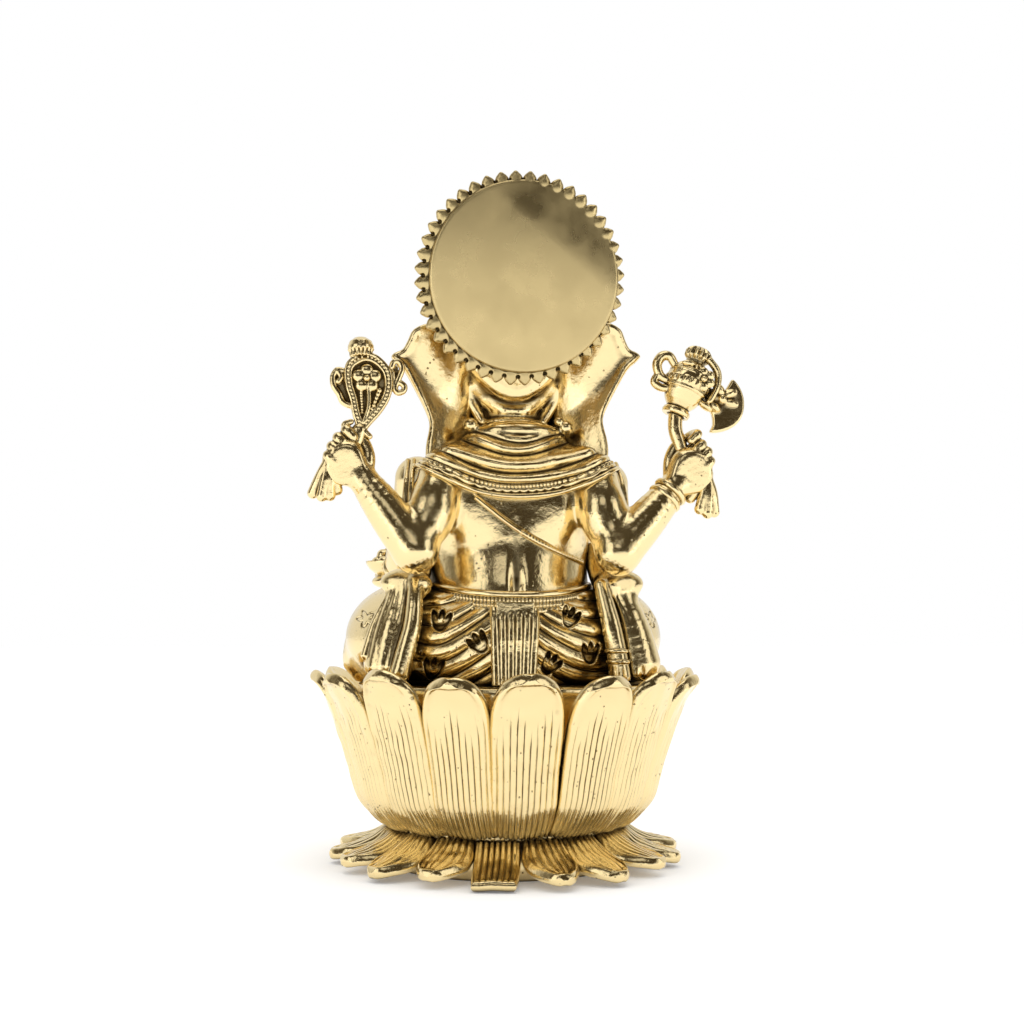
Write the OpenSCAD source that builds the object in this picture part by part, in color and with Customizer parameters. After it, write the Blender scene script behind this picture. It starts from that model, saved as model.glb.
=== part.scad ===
// Seated four-armed elephant-headed deity on a lotus base, a small cast-brass idol.
// Frame: origin on the ground under the axis of the lotus, +Z up, the figure faces -Y
// and its own left side is +X. Millimetres. Every casting is a node of its own. The
// castings meet at flat or fitted braze seams, and one stud with a nut holds the
// figure on its seat.

/* [Lotus base] */
// Height of the seat on which the figure sits
seat_z = 43.4; // [40:0.2:48]
// Radius of the closing plate of the seat
seat_r = 36.5; // [34:0.5:38]
// Radius that the lower petals reach on the ground
skirt_r = 43; // [40:0.5:46]
// Number of lower petals
skirt_petals = 18; // [14:1:22]
// Number of upright petals
cup_petals = 16; // [12:1:18]
// Wall thickness of the hollow base casting
wall = 2.4; // [2:0.1:3]

/* [Figure] */
// Height of the waist, where the leg casting ends
waist_z = 63.4; // [62:0.2:66]
// Half width of the torso
torso_half = 20; // [17:0.5:22]
// Half width across the knees
knee_half = 39.4; // [36:0.2:42]
// Height of the centre of the head
head_z = 121; // [118:0.5:124]

/* [Halo] */
// Height of the centre of the halo plate
halo_z = 139.7; // [136:0.1:142]
// Distance of the halo plate behind the axis
halo_y = 29.5; // [28:0.5:32]
// Radius over the scallops of the halo
halo_r = 25; // [22:0.5:27]
// Number of scallops
halo_scallops = 44; // [30:1:50]
// Backward lean of the halo in degrees
halo_lean = 12; // [0:1:16]

/* [Hardware] */
// Outer diameter of the fixing stud
stud_d = 5; // [4:0.5:6]
// Width of the nut across its flats
nut_af = 8; // [7:0.5:10]

/* [Hidden] */
$fn = 48;
gold = "goldenrod";
pale = "khaki";

// Lotus
foot_r = 28.8;
cup_z = 9.8;
plate_t = 2;
cup_outer = [[28.6, 10.4], [33.2, 13.4], [36.8, 19], [38.2, 26], [42, 38], [44.4, 42.4], [48, 45.8]];
bowl_outer = [[26.6, cup_z], [31.8, 13.4], [35.4, 19], [seat_r, 27], [seat_r, seat_z - plate_t]];
petal_t = 2.6;
cut_petal = 80;

skirt_petal_r = 6.4;
skirt_line = [[27, cup_z], [28.4, cup_z], [31, 7.4], [35, 5.2], [39.4, 4], [skirt_r, 3.4],
              [skirt_r, 0.2], [39.4, 1], [35, 2.2], [31, 4.2], [27, 7.4]];
// Half of an upright petal's outline, from its foot to its tip
petal_half = [[5.2, 10], [6.3, 18], [7, 30], [7.3, 36], [6.7, 40], [4.8, 43.4], [1.6, 46.6]];

// Fixing stud, washer and nut under the seat
stud_low = 30;
stud_high = 52;
washer_t = 1;
nut_h = 4;
bore_play = 0.2;

// Castings of the body: each ellipsoid has a centre and half axes
hips_centre = [0, 4, 54];
hips_half = [31, 22, 17];
knee_half_axes = [17.2, 21, 14.2];
lap_r = 24.2;
torso_top = 100;
shoulder_centre = [0, 6, 93];
shoulder_half = [24, 13.5, 10];
belly_centre = [0, -8, 77];
belly_half = [19.4, 17, 17];
back_centre = [0, 3, 80];
back_half = [torso_half + 0.6, 17, 25];
skull_centre = [0, 1, head_z];
skull_half = [16, 16.5, 16.5];

// Clothing and trim
pleat_pitch = 2.2;
pleat_r = 1.2;
sash_at = [29.4, 17.4];
sash_turn = 38;
sash_h = 21;
belt_r = 20.9;
belt_t = 2.4;
belt_h = 3.4;
thread_tilt = -36;
thread_turn = 76;
thread_r = 1.1;
shawl_z = 87.5;
shawl_top = 107;
shawl_cut = -14;
bead_r = 1.5;

// Head, crown and halo
trunk_line = [[0, -13, 116], [0, -17, 112], [0, -20, 106.5], [0.3, -22.5, 100.5], [1, -25, 94.5],
              [2.6, -27.8, 89], [5.4, -29.6, 84.6], [9.2, -30.6, 82.4], [13, -30.8, 83.6]];
ear_outline = [[13, 102], [18, 101], [21, 100.6], [26, 109], [31.2, 121], [29.5, 124],
               [23.8, 128.2], [18, 127.5], [13, 126]];
ear_y = 19;
ear_t = 5;
crown_low = head_z + 12.5;
crown_high = 158;
crown_profile = [[12.2, crown_low + 3], [13, 140], [10.6, 148], [6, 154]];
halo_t = 1.6;
scallop_r = 1.8;
rivet_r = 2;
rivet_len = 14;

// Hands and what they hold
fist_half = [5, 4.6, 6];
emblem_at = [36.3, 20, 114.6];
axe_at = [-43, 20, 118];

// Skeleton of the arms: shoulder, elbow, wrist and hand, left side positive X
l_rear = [[17.6, 17, 93], [23.6, 22.6, 74.8], [36.2, 20.5, 92], [40.4, 21, 97.4]];
r_rear = [[-19.4, 17, 93], [-23.8, 23, 74.6], [-38.2, 20.5, 91.6], [-42.2, 21, 96.8]];
l_front = [[22.5, 2, 94], [23.6, -8, 79.4], [26.4, -20.2, 71.8], [28.4, -26, 69.6]];
r_front = [[-24.6, 2.6, 93.4], [-28.5, -9, 79], [-26, -22, 88], [-25.5, -24.5, 95]];
arm_r = [5.6, 5.3, 3.6];
bowl_z = l_front[3][2] + 1.2;

// A solid bar from p to q with round ends and its own radius at each end
module limb(p, q, rp, rq) {
    d = q - p;
    len = norm(d);
    translate(p)
        rotate([0, acos(d[2] / len), atan2(d[1], d[0])])
            rotate_extrude() polygon(limb_profile(rp, rq, len));
}

// Half of a limb's section: an arc, the tangent flank and another arc
function limb_profile(rp, rq, len) =
    let (tilt = asin((rp - rq) / len), steps = 7)
    concat([[0, -rp]],
           [for (i = [1:steps]) let (a = -90 + (90 + tilt) * i / steps) rp * [cos(a), sin(a)]],
           [for (i = [0:steps - 1]) let (a = tilt + (90 - tilt) * i / steps) [0, len] + rq * [cos(a), sin(a)]],
           [[0, len + rq]]);

module ball(centre, half) {
    translate(centre) scale(half) sphere(1);
}

// A half space as a large block, on the side of the plane that n points to
module above(z) {
    translate([-80, -80, z]) cube([160, 160, 160]);
}

module below(z) {
    translate([-80, -80, z - 160]) cube([160, 160, 160]);
}

// ---- Lotus base

module skirt_outline() {
    circle(skirt_r - 6.8);
    for (i = [0:skirt_petals - 1])
        rotate(cut_petal + i * 360 / skirt_petals)
            if (i == 0)
                translate([skirt_r - 12, -5.4]) square([12, 10.8]);
            else
                translate([skirt_r - skirt_petal_r, 0]) circle(skirt_petal_r);
}

module lotus_skirt() {
    color(gold) {
        intersection() {
            linear_extrude(cup_z) skirt_outline();
            rotate_extrude()
                polygon(skirt_line);
        }
        difference() {
            cylinder(h = cup_z, r = foot_r);
            translate([0, 0, -1]) cylinder(h = cup_z + 2, r = foot_r - 2 * wall);
        }
    }
}

module petal_outline() {
    n = len(petal_half) - 1;
    polygon(concat(petal_half, [for (i = [n:-1:0]) [-petal_half[i][0], petal_half[i][1]]]));
}

function inset(points, t) = [for (i = [len(points) - 1:-1:0]) points[i] - [t, 0]];

module lotus_cup() {
    color(gold) {
        rotate_extrude() polygon(concat(bowl_outer, inset(bowl_outer, wall)));
        intersection() {
            rotate_extrude() polygon(concat(cup_outer, inset(cup_outer, petal_t)));
            for (i = [0:cup_petals - 1])
                rotate([90, 0, 90 + i * 360 / cup_petals])
                    linear_extrude(60) petal_outline();
        }
    }
}

module seat_plate() {
    color(pale)
        translate([0, 0, seat_z - plate_t])
            difference() {
                cylinder(h = plate_t, r = seat_r);
                translate([0, 0, -1]) cylinder(h = plate_t + 2, r = stud_d / 2 + bore_play);
            }
}

module fixing_stud() {
    color("silver")
        translate([0, 0, stud_low]) cylinder(h = stud_high - stud_low, d = stud_d);
}

module fixing_washer() {
    color("silver")
        translate([0, 0, seat_z - plate_t - washer_t])
            difference() {
                cylinder(h = washer_t, r = stud_d);
                translate([0, 0, -1]) cylinder(h = washer_t + 2, r = stud_d / 2 + bore_play);
            }
}

module fixing_nut() {
    color("silver")
        translate([0, 0, seat_z - plate_t - washer_t - nut_h])
            difference() {
                cylinder(h = nut_h, d = nut_af / cos(30), $fn = 6);
                translate([0, 0, -1]) cylinder(h = nut_h + 2, d = stud_d);
            }
}

// ---- Lower body

module legs_shape() {
    ball(hips_centre, hips_half);
    for (side = [-1, 1]) {
        ball([side * (knee_half - knee_half_axes[0]), -4, 54], knee_half_axes);
        limb([side * 24, -24, 49], [-side * 4, -28, 49], 5.4, 5);
    }
}

module legs_dhoti() {
    color(gold)
        difference() {
            intersection() {
                legs_shape();
                translate([0, 0, seat_z]) cylinder(h = 2 * hips_half[2], r = 60);
            }
            translate([0, 2, waist_z]) cylinder(h = hips_half[2], r = lap_r);
            translate([0, 0, seat_z - 1]) cylinder(h = stud_high - seat_z + 1, d = stud_d);
        }
}

module rear_pleats() {
    color(pale)
        difference() {
            translate([0, 0, seat_z])
                linear_extrude(waist_z - seat_z - 0.8) {
                    for (i = [-2:2]) translate([i * pleat_pitch, 27.6]) circle(pleat_r);
                    translate([-5.4, 22]) square([10.8, 5.6]);
                }
            ball(hips_centre, hips_half);
        }
}

module sash(side) {
    difference() {
        translate([side * sash_at[0], sash_at[1], seat_z + 1])
            rotate([0, 0, -side * sash_turn])
                linear_extrude(sash_h) {
                    for (i = [-1:1]) translate([i * 3, 0]) circle(2);
                    translate([-4.4, -3]) square([8.8, 3]);
                }
        legs_shape();
    }
}

module left_sash() { color(pale) sash(1); }
module right_sash() { color(pale) sash(-1); }

// ---- Trunk of the body

module torso_shape() {
    ball(back_centre, back_half);
    ball(belly_centre, belly_half);
    ball(shoulder_centre, shoulder_half);
}

module torso() {
    color(gold)
        intersection() {
            torso_shape();
            union() {
                belt_blank(belt_r - belt_t);
                translate([0, 0, waist_z + belt_h])
                    cylinder(h = torso_top - waist_z - belt_h, r = 60);
            }
        }
}

module waist_belt() {
    color(pale)
        difference() {
            belt_blank(belt_r);
            belt_blank(belt_r - belt_t);
        }
}

module belt_blank(r) {
    translate([0, 2, waist_z]) cylinder(h = belt_h, r = r);
}

module thread_ring(r) {
    translate([0, -3.4, 80])
        rotate([0, -thread_tilt, 0])
            rotate([0, 0, 90 - thread_turn / 2])
                rotate_extrude(angle = thread_turn) translate([24.4, 0]) circle(r);
}

module sacred_thread() {
    color(pale)
        difference() {
            thread_ring(thread_r);
            ball(back_centre, back_half);
        }
}

// ---- Clothing on the shoulders

module shawl_cone() {
    translate([0, 5, shawl_z])
        scale([1.38, 1, 1]) cylinder(h = shawl_top - shawl_z, r1 = 18, r2 = 9.4);
}

module shoulder_shawl() {
    color(pale)
        difference() {
            shawl_cone();
            torso_shape();
            neck_shape();
            translate([0, 0, shawl_z])
                rotate([shawl_cut, 0, 0]) translate([-60, -60, -30]) cube([120, 60, 60]);
        }
}

module neck_shape() {
    translate([0, 3, torso_top]) cylinder(h = 10, r1 = 12, r2 = 10.5);
}

module necklace() {
    color(pale)
        for (i = [0:10])
            let (a = -150 + i * 12)
            translate([20.5 * cos(a), -2 + 21 * sin(a), 92 - 9 * sin(-a)])
                sphere(bead_r);
}

// ---- Head

module head_shape() {
    ball(skull_centre, skull_half);
    neck_shape();
}

module head() {
    color(gold)
        difference() {
            head_shape();
            below(torso_top);
            above(crown_low);
        }
}

// The trunk is one smooth tapered sweep of short hulls
module trunk_shape() {
    n = len(trunk_line);
    for (i = [0:n - 2])
        hull() {
            translate(trunk_line[i]) sphere(trunk_r(i / (n - 1)), $fn = 24);
            translate(trunk_line[i + 1]) sphere(trunk_r((i + 1) / (n - 1)), $fn = 24);
        }
}

function trunk_r(t) = 7.2 - 4.4 * t;

module trunk() {
    color(gold)
        difference() {
            trunk_shape();
            ball(skull_centre, skull_half);
            ball(belly_centre, belly_half);
        }
}

module tusk(side, reach) {
    difference() {
        limb([side * 9, -12, 113], [side * 12, -12 - reach, 108.5], 1.9, 1);
        head_shape();
    }
}

module left_tusk() { color(pale) tusk(1, 12); }
module right_tusk() { color(pale) tusk(-1, 7); }

module ear(side) {
    difference() {
        translate([0, ear_y, 0])
            rotate([90, 0, 0])
                linear_extrude(ear_t) polygon([for (p = ear_outline) [side * p[0], p[1]]]);
        head_shape();
        shawl_cone();
    }
}

module left_ear() { color(gold) ear(1); }
module right_ear() { color(gold) ear(-1); }

// ---- Crown and halo

module crown() {
    color(gold)
        translate([0, 6, 0])
            rotate_extrude()
                polygon(concat([[0, crown_low + 3]], crown_profile,
                               [[3, 155], [2.2, crown_high], [0, crown_high]]));
}

module crown_band() {
    color(pale)
        translate([0, 3, crown_low]) cylinder(h = 3, r = 14);
}

module halo_frame() {
    translate([0, halo_y, halo_z]) rotate([-90 - halo_lean, 0, 0]) children();
}

module halo_plate() {
    color(gold)
        halo_frame()
            difference() {
                union() {
                    translate([0, 0, -halo_t]) cylinder(h = halo_t, r = halo_r - scallop_r);
                    for (i = [0:halo_scallops - 1])
                        rotate(i * 360 / halo_scallops)
                            translate([halo_r - scallop_r, 0, -halo_t - 0.6])
                                cylinder(h = halo_t + 0.2, r = scallop_r);
                }
                translate([0, 0, -halo_t - 1]) cylinder(h = halo_t + 0.4, r = rivet_r);
            }
}

module halo_rivet() {
    color(gold)
        difference() {
            halo_frame() translate([0, 0, -rivet_len]) cylinder(h = rivet_len - 0.6, r = rivet_r);
            translate([0, 6, 0])
                rotate_extrude()
                    polygon(concat([[0, crown_low]], crown_profile, [[0, 154]]));
        }
}

// ---- Arms

// Each upper arm ends in a shallow socket around the ball of its elbow
module upper_arm(s) {
    difference() {
        limb(s[0], s[1], arm_r[0], arm_r[1] - 0.3);
        translate(s[1]) sphere(arm_r[1] + 0.05);
        ball(shoulder_centre, shoulder_half);
    }
}

module forearm(s) { limb(s[1], s[2], arm_r[1], arm_r[2]); }

module left_rear_upper_arm() { color(gold) upper_arm(l_rear); }
module right_rear_upper_arm() { color(gold) upper_arm(r_rear); }
module left_rear_forearm() { color(gold) forearm(l_rear); }
module right_rear_forearm() { color(gold) forearm(r_rear); }

module fist_shape(s) { ball(s[3], fist_half); }

module rear_hand(s) {
    difference() {
        fist_shape(s);
        forearm(s);
    }
}

module left_rear_hand() { color(gold) rear_hand(l_rear); }
module right_rear_hand() { color(gold) rear_hand(r_rear); }

module left_front_upper_arm() { color(gold) upper_arm(l_front); }
module right_front_upper_arm() { color(gold) upper_arm(r_front); }
module left_front_forearm() { color(gold) forearm(l_front); }
module right_front_forearm() { color(gold) forearm(r_front); }

module left_front_hand() {
    color(gold)
        difference() {
            ball(l_front[3], [5.6, 5.6, 3]);
            forearm(l_front);
            above(l_front[3][2] + 1.2);
        }
}

module right_front_hand() {
    color(gold)
        difference() {
            ball(r_front[3], [4.6, 2.8, 6.6]);
            forearm(r_front);
        }
}

module at_bowl() { translate([l_front[3][0], l_front[3][1], bowl_z]) children(); }

module sweets_bowl() {
    color(pale)
        at_bowl()
            rotate_extrude()
                polygon([[0, 0], [3.4, 0], [6.2, 3.2], [6.2, 4], [5.2, 4], [2.8, 1.2], [0, 1.2]]);
}

module sweets() {
    color(gold)
        at_bowl() {
            rotate_extrude()
                polygon([[0, 1.2], [2.8, 1.2], [5.2, 4], [4.4, 5.6], [0, 6]]);
            translate([0, 0, 5]) cylinder(h = 4.4, r1 = 2.8, r2 = 0.4);
        }
}

// Two cuffs on the right rear wrist and one on each front wrist
module bracelets() {
    color(pale) {
        for (t = [0.66, 0.86]) cuff(r_rear, t);
        cuff(l_front, 0.8);
        cuff(r_front, 0.8);
    }
}

module cuff(s, t) {
    d = s[2] - s[1];
    len = norm(d);
    translate(s[1] + d * t)
        rotate([0, acos(d[2] / len), atan2(d[1], d[0])])
            difference() {
                cylinder(h = 2.2, r = 5.2);
                translate([0, 0, -1]) cylinder(h = 4.2, r = 4.4);
            }
}

// ---- What the rear hands hold

module noose_emblem() {
    color(pale)
        difference() {
            union() {
                translate(emblem_at + [0, 1.6, 0])
                    rotate([90, 0, 0])
                        linear_extrude(3.2) {
                            circle(6.2);
                            polygon([[-6, -1.6], [6, -1.6], [1.4, -11.5], [-1.4, -11.5]]);
                            for (side = [-1, 1])
                                translate([side * 6.6, 1]) circle(1.9);
                        }
                translate(emblem_at + [0.6, 0, 5.4]) cylinder(h = 5, r1 = 2, r2 = 2.6);
                limb(l_rear[3], emblem_at - [0.4, 0, 10.4], 2, 1.5);
            }
            fist_shape(l_rear);
        }
}

module axe() {
    color(pale)
        difference() {
            union() {
                limb(r_rear[3] + [1.6, 0, 0], axe_at + [1.4, 0, -6], 1.8, 1.8);
                ball(axe_at, [6, 3.4, 5]);
                translate(axe_at + [-2.2, 0, 4]) cylinder(h = 4, r = 2.6);
                ball(axe_at + [7, 0, 1.4], [3.2, 2, 4.2]);
                translate(axe_at + [-8.2, 1.2, -6])
                    rotate([90, 0, 0])
                        linear_extrude(2.4)
                            difference() {
                                circle(6);
                                translate([1.5, 6.4]) circle(4.4);
                            }
            }
            fist_shape(r_rear);
        }
}

module tassel(s, drop) {
    side = s[0][0] > 0 ? 1 : -1;
    difference() {
        translate(s[3] + [side * 4.6, 1.2, 1])
            rotate([90, side * 10, 0])
                linear_extrude(2.4)
                    polygon([[-1.6, 0], [1.6, 0], [3.4, -drop], [-3.4, -drop]]);
        fist_shape(s);
    }
}

module left_tassel() { color(pale) tassel(l_rear, 9.6); }
module right_tassel() { color(pale) tassel(r_rear, 12.6); }

lotus_skirt();
lotus_cup();
seat_plate();
fixing_stud();
fixing_washer();
fixing_nut();
legs_dhoti();
rear_pleats();
left_sash();
right_sash();
torso();
waist_belt();
sacred_thread();
shoulder_shawl();
necklace();
head();
trunk();
left_tusk();
right_tusk();
left_ear();
right_ear();
crown();
crown_band();
halo_plate();
halo_rivet();
left_rear_upper_arm();
left_rear_forearm();
right_rear_upper_arm();
right_rear_forearm();
left_rear_hand();
right_rear_hand();
noose_emblem();
axe();
left_tassel();
right_tassel();
left_front_upper_arm();
left_front_forearm();
right_front_upper_arm();
right_front_forearm();
left_front_hand();
right_front_hand();
sweets_bowl();
sweets();
bracelets();
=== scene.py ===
"""A small cast-brass idol, seated on a lotus: sculpted pieces, materials, light and camera.

Lengths inside this file are millimetres in the frame's own axes: +Z up, the figure faces -Y
and its left side is +X. They become metres when a mesh is made.
"""

import math
from concurrent.futures import ThreadPoolExecutor

import bpy
import numpy as np
from mathutils import Matrix, Vector


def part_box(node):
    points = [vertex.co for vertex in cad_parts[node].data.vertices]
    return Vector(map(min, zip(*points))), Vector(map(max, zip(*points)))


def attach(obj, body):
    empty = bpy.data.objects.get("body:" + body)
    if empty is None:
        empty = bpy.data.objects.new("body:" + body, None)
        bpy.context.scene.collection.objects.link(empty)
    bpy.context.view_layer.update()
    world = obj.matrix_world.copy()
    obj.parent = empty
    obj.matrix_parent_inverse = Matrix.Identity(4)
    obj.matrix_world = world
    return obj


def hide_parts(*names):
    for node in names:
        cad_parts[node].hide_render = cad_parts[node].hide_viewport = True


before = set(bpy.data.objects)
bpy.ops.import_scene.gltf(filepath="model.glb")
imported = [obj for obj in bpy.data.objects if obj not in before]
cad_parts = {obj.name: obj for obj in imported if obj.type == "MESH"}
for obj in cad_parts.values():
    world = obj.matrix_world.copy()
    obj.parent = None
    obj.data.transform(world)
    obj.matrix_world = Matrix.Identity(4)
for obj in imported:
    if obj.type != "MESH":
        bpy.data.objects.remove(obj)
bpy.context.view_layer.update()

MM = 0.001
# Mesh steps in millimetres: for plain castings, for cloth and the halo, and for small detail.
FINE = 0.25
CLOTH = 0.2
DETAIL = 0.17
# A part of a union further away than this doesn't count, in millimetres.
FAR = 3.0
F = np.float32


def box_mm(node):
    """Lowest and highest corner of a CAD node, in millimetres."""
    low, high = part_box(node)
    return np.array(low) / MM, np.array(high) / MM


def middle_mm(node):
    low, high = box_mm(node)
    return (low + high) / 2


SEAT_Z = box_mm("seat_plate")[1][2]
WAIST_Z = box_mm("waist_belt")[0][2]
BELT_Z = box_mm("waist_belt")[1][2]
CUP_Z = box_mm("lotus_skirt")[1][2]
TORSO_Z = box_mm("torso")[1][2]
HEAD_TOP_Z = box_mm("head")[1][2]
# The sculpted halo sits this much lower than the plain CAD plate, in millimetres.
HALO_DROP = 1.4
HALO_AT = middle_mm("halo_plate") - np.array([0, 0, HALO_DROP])
HALO_LEAN = math.radians(12)


# ---- Solids as signed distances


class Solid:
    """A signed distance in millimetres, negative inside, with a box that holds the solid."""

    def __init__(self, field, low, high):
        self.field = field
        self.low = np.array(low, F)
        self.high = np.array(high, F)

    def __call__(self, p):
        return self.field(p)


def length(v):
    return np.sqrt(np.einsum("ij,ij->i", v, v))


def turn(x=0.0, y=0.0, z=0.0):
    """Rotation matrix from degrees about X, then Y, then Z."""
    spin = Matrix.Rotation(math.radians(z), 3, "Z") @ Matrix.Rotation(math.radians(y), 3, "Y")
    return np.array(spin @ Matrix.Rotation(math.radians(x), 3, "X"), F)


def aimed(direction):
    """Rotation matrix that takes +Z to a direction."""
    return np.array(Vector(direction).to_track_quat("Z", "Y").to_matrix(), F)


def ball(centre, half, spin=None):
    c = np.array(centre, F)
    h = np.array(half, F) * np.ones(3, F)
    reach = h if spin is None else np.sqrt((np.array(spin) ** 2) @ (h**2))

    def field(p):
        q = p - c
        if spin is not None:
            q = q @ spin
        q = q / h
        a = np.maximum(length(q), 1e-4)
        b = np.maximum(length(q / h), 1e-4 / h.max())
        return a * (a - 1) / b

    return Solid(field, c - reach, c + reach)


def limb(p, q, rp, rq):
    """A bar with round ends from p to q, with its own radius at each end."""
    a = np.array(p, F)
    d = np.array(q, F) - a
    dd = max(float(d @ d), 1e-6)
    low = np.minimum(a - rp, a + d - rq)
    high = np.maximum(a + rp, a + d + rq)

    def field(x):
        v = x - a
        t = np.clip(v @ d / dd, 0, 1)
        return length(v - t[:, None] * d) - (rp + (rq - rp) * t)

    return Solid(field, low, high)


def smin(a, b, k):
    h = np.maximum(k - np.abs(a - b), 0) / k
    return np.minimum(a, b) - h * h * k / 4


def union(*parts, k=0.0):
    lows = np.array([s.low for s in parts])
    highs = np.array([s.high for s in parts])

    def field(p):
        a, b = p.min(0), p.max(0)
        gaps = np.maximum(lows - b, a - highs).max(1)
        near = gaps < FAR + k
        rest = gaps[~near]
        best = np.full(len(p), rest.min() if len(rest) else 1e3, F)
        for s in [parts[i] for i in np.nonzero(near)[0]]:
            d = s(p)
            best = smin(best, d, k) if k else np.minimum(best, d)
        return best

    return Solid(field, lows.min(0) - k / 4, highs.max(0) + k / 4)


def common(a, b, k=0.0):
    """What is inside both solids."""

    def field(p):
        x, y = a(p), b(p)
        return -smin(-x, -y, k) if k else np.maximum(x, y)

    return Solid(field, np.maximum(a.low, b.low), np.minimum(a.high, b.high))


def cut(a, b, k=0.0):
    """The first solid less the second."""

    def field(p):
        x, y = a(p), b(p)
        return -smin(-x, y, k) if k else np.maximum(x, -y)

    return Solid(field, a.low, a.high)


def half_space(point, normal):
    """Everything behind the plane whose normal points away from it."""
    n = np.array(normal, F)
    n = n / np.linalg.norm(n)
    c = float(n @ np.array(point, F))
    return Solid(lambda p: p @ n - c, [-200] * 3, [200] * 3)


def layer(low, high):
    """Everything between two heights."""
    mid, half = (low + high) / 2, (high - low) / 2
    return Solid(lambda p: np.abs(p[:, 2] - mid) - half, [-200, -200, low], [200, 200, high])


def raised(solid, height, reach=2.5):
    """The solid with its surface moved out by height(points), in millimetres."""

    def field(p):
        d = solid(p)
        near = np.abs(d) < reach + 1
        if near.any():
            d = d.copy()
            d[near] -= height(p[near])
        return d

    return Solid(field, solid.low - reach, solid.high + reach)


def path(points, steps=5):
    """A smooth curve through rows of any width, such as (x, y, z, radius)."""
    rows = np.array(points, float)
    ends = np.vstack([2 * rows[0] - rows[1], rows, 2 * rows[-1] - rows[-2]])
    out = []
    for i in range(len(rows) - 1):
        a, b, c, d = ends[i : i + 4]
        for t in np.arange(steps) / steps:
            square = (2 * a - 5 * b + 4 * c - d) * t * t
            out.append(0.5 * (2 * b + (c - a) * t + square + (3 * b - 3 * c + d - a) * t**3))
    out.append(rows[-1])
    return np.array(out)


def chain(points, steps=5, k=0.0):
    """A tube along a smooth curve through (x, y, z, radius) rows."""
    rows = path(points, steps) if steps > 1 else np.array(points, float)
    bars = [limb(a[:3], b[:3], a[3], b[3]) for a, b in zip(rows[:-1], rows[1:])]
    return union(*bars, k=k)


def outline_distance(points, x, y):
    """Signed distance to a closed outline in the plane."""
    rows = np.array(points, F)
    best = np.full(len(x), 1e9, F)
    inside = np.zeros(len(x), bool)
    for (ax, ay), (bx, by) in zip(rows, np.roll(rows, -1, 0)):
        ex, ey = bx - ax, by - ay
        wx, wy = x - ax, y - ay
        t = np.clip((wx * ex + wy * ey) / max(ex * ex + ey * ey, 1e-9), 0, 1)
        best = np.minimum(best, (wx - t * ex) ** 2 + (wy - t * ey) ** 2)
        if ey != 0:
            crossing = ((ay > y) != (by > y)) & (wx < wy * ex / ey)
            inside ^= crossing
    return np.where(inside, -1, 1) * np.sqrt(best)


def turned(profile, foot, direction=(0, 0, 1), flutes=None):
    """A lathe solid: (radius, height) rows about an axis that starts at foot."""
    base = np.array(foot, F)
    spin = aimed(direction)
    rows = [(0, profile[0][1])] + list(profile) + [(0, profile[-1][1])]
    reach = max(math.hypot(r, h) for r, h in rows)

    def field(p):
        q = (p - base) @ spin
        d = outline_distance(rows, np.hypot(q[:, 0], q[:, 1]), q[:, 2])
        return d if flutes is None else d - flutes(q)

    return Solid(field, base - reach, base + reach)


def plate(outline, y, half, edge=0.3):
    """An outline in X and Z, as a plate about the plane Y = y with rounded edges."""
    rows = np.array(outline, float)

    def field(p):
        d = outline_distance(rows, p[:, 0], p[:, 2]) + edge
        w = np.abs(p[:, 1] - y) - half + edge
        outside = np.hypot(np.maximum(d, 0), np.maximum(w, 0))
        return outside + np.minimum(np.maximum(d, w), 0) - edge

    low = [rows[:, 0].min(), y - half, rows[:, 1].min()]
    high = [rows[:, 0].max(), y + half, rows[:, 1].max()]
    return Solid(field, low, high)


def ring(centre, direction, radius, thick, squash=1.0):
    """A ring of round section; squash flattens the section along its axis."""
    c = np.array(centre, F)
    spin = aimed(direction)

    def field(p):
        q = (p - c) @ spin
        return np.hypot(np.hypot(q[:, 0], q[:, 1]) - radius, q[:, 2] / squash) - thick

    reach = radius + thick * max(squash, 1)
    return Solid(field, c - reach, c + reach)


def mirrored(solid):
    flip = np.array([-1, 1, 1], F)
    low, high = solid.low * flip, solid.high * flip
    return Solid(lambda p: solid(p * flip), np.minimum(low, high), np.maximum(low, high))


def moved(solid, offset):
    step = np.array(offset, F)
    return Solid(lambda p: solid(p - step), solid.low + step, solid.high + step)


def wobble(p, size, seed):
    """Smooth irregularity between about -1 and 1, with features of the given size."""
    rng = np.random.default_rng(seed)
    total = np.zeros(len(p), F)
    for _ in range(5):
        d = rng.normal(size=3)
        d *= 2 * math.pi / size / np.linalg.norm(d) * rng.uniform(0.6, 1.3)
        total += np.sin(p @ d.astype(F) + rng.uniform(0, 6.28)).astype(F)
    return total / 3


def step_up(low, high, x):
    t = np.clip((x - low) / (high - low), 0, 1)
    return t * t * (3 - 2 * t)


def bump_row(distance, half):
    """A round hump across a line, from the distance to the line."""
    return np.sqrt(np.maximum(1 - (distance / half) ** 2, 0))


# ---- From a solid to a mesh

SPAN = 8
CORNERS = np.array([(i >> 2 & 1, i >> 1 & 1, i & 1) for i in range(8)])
EDGES = [(a, a | bit) for a in range(8) for bit in (1, 2, 4) if not a & bit]


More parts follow.
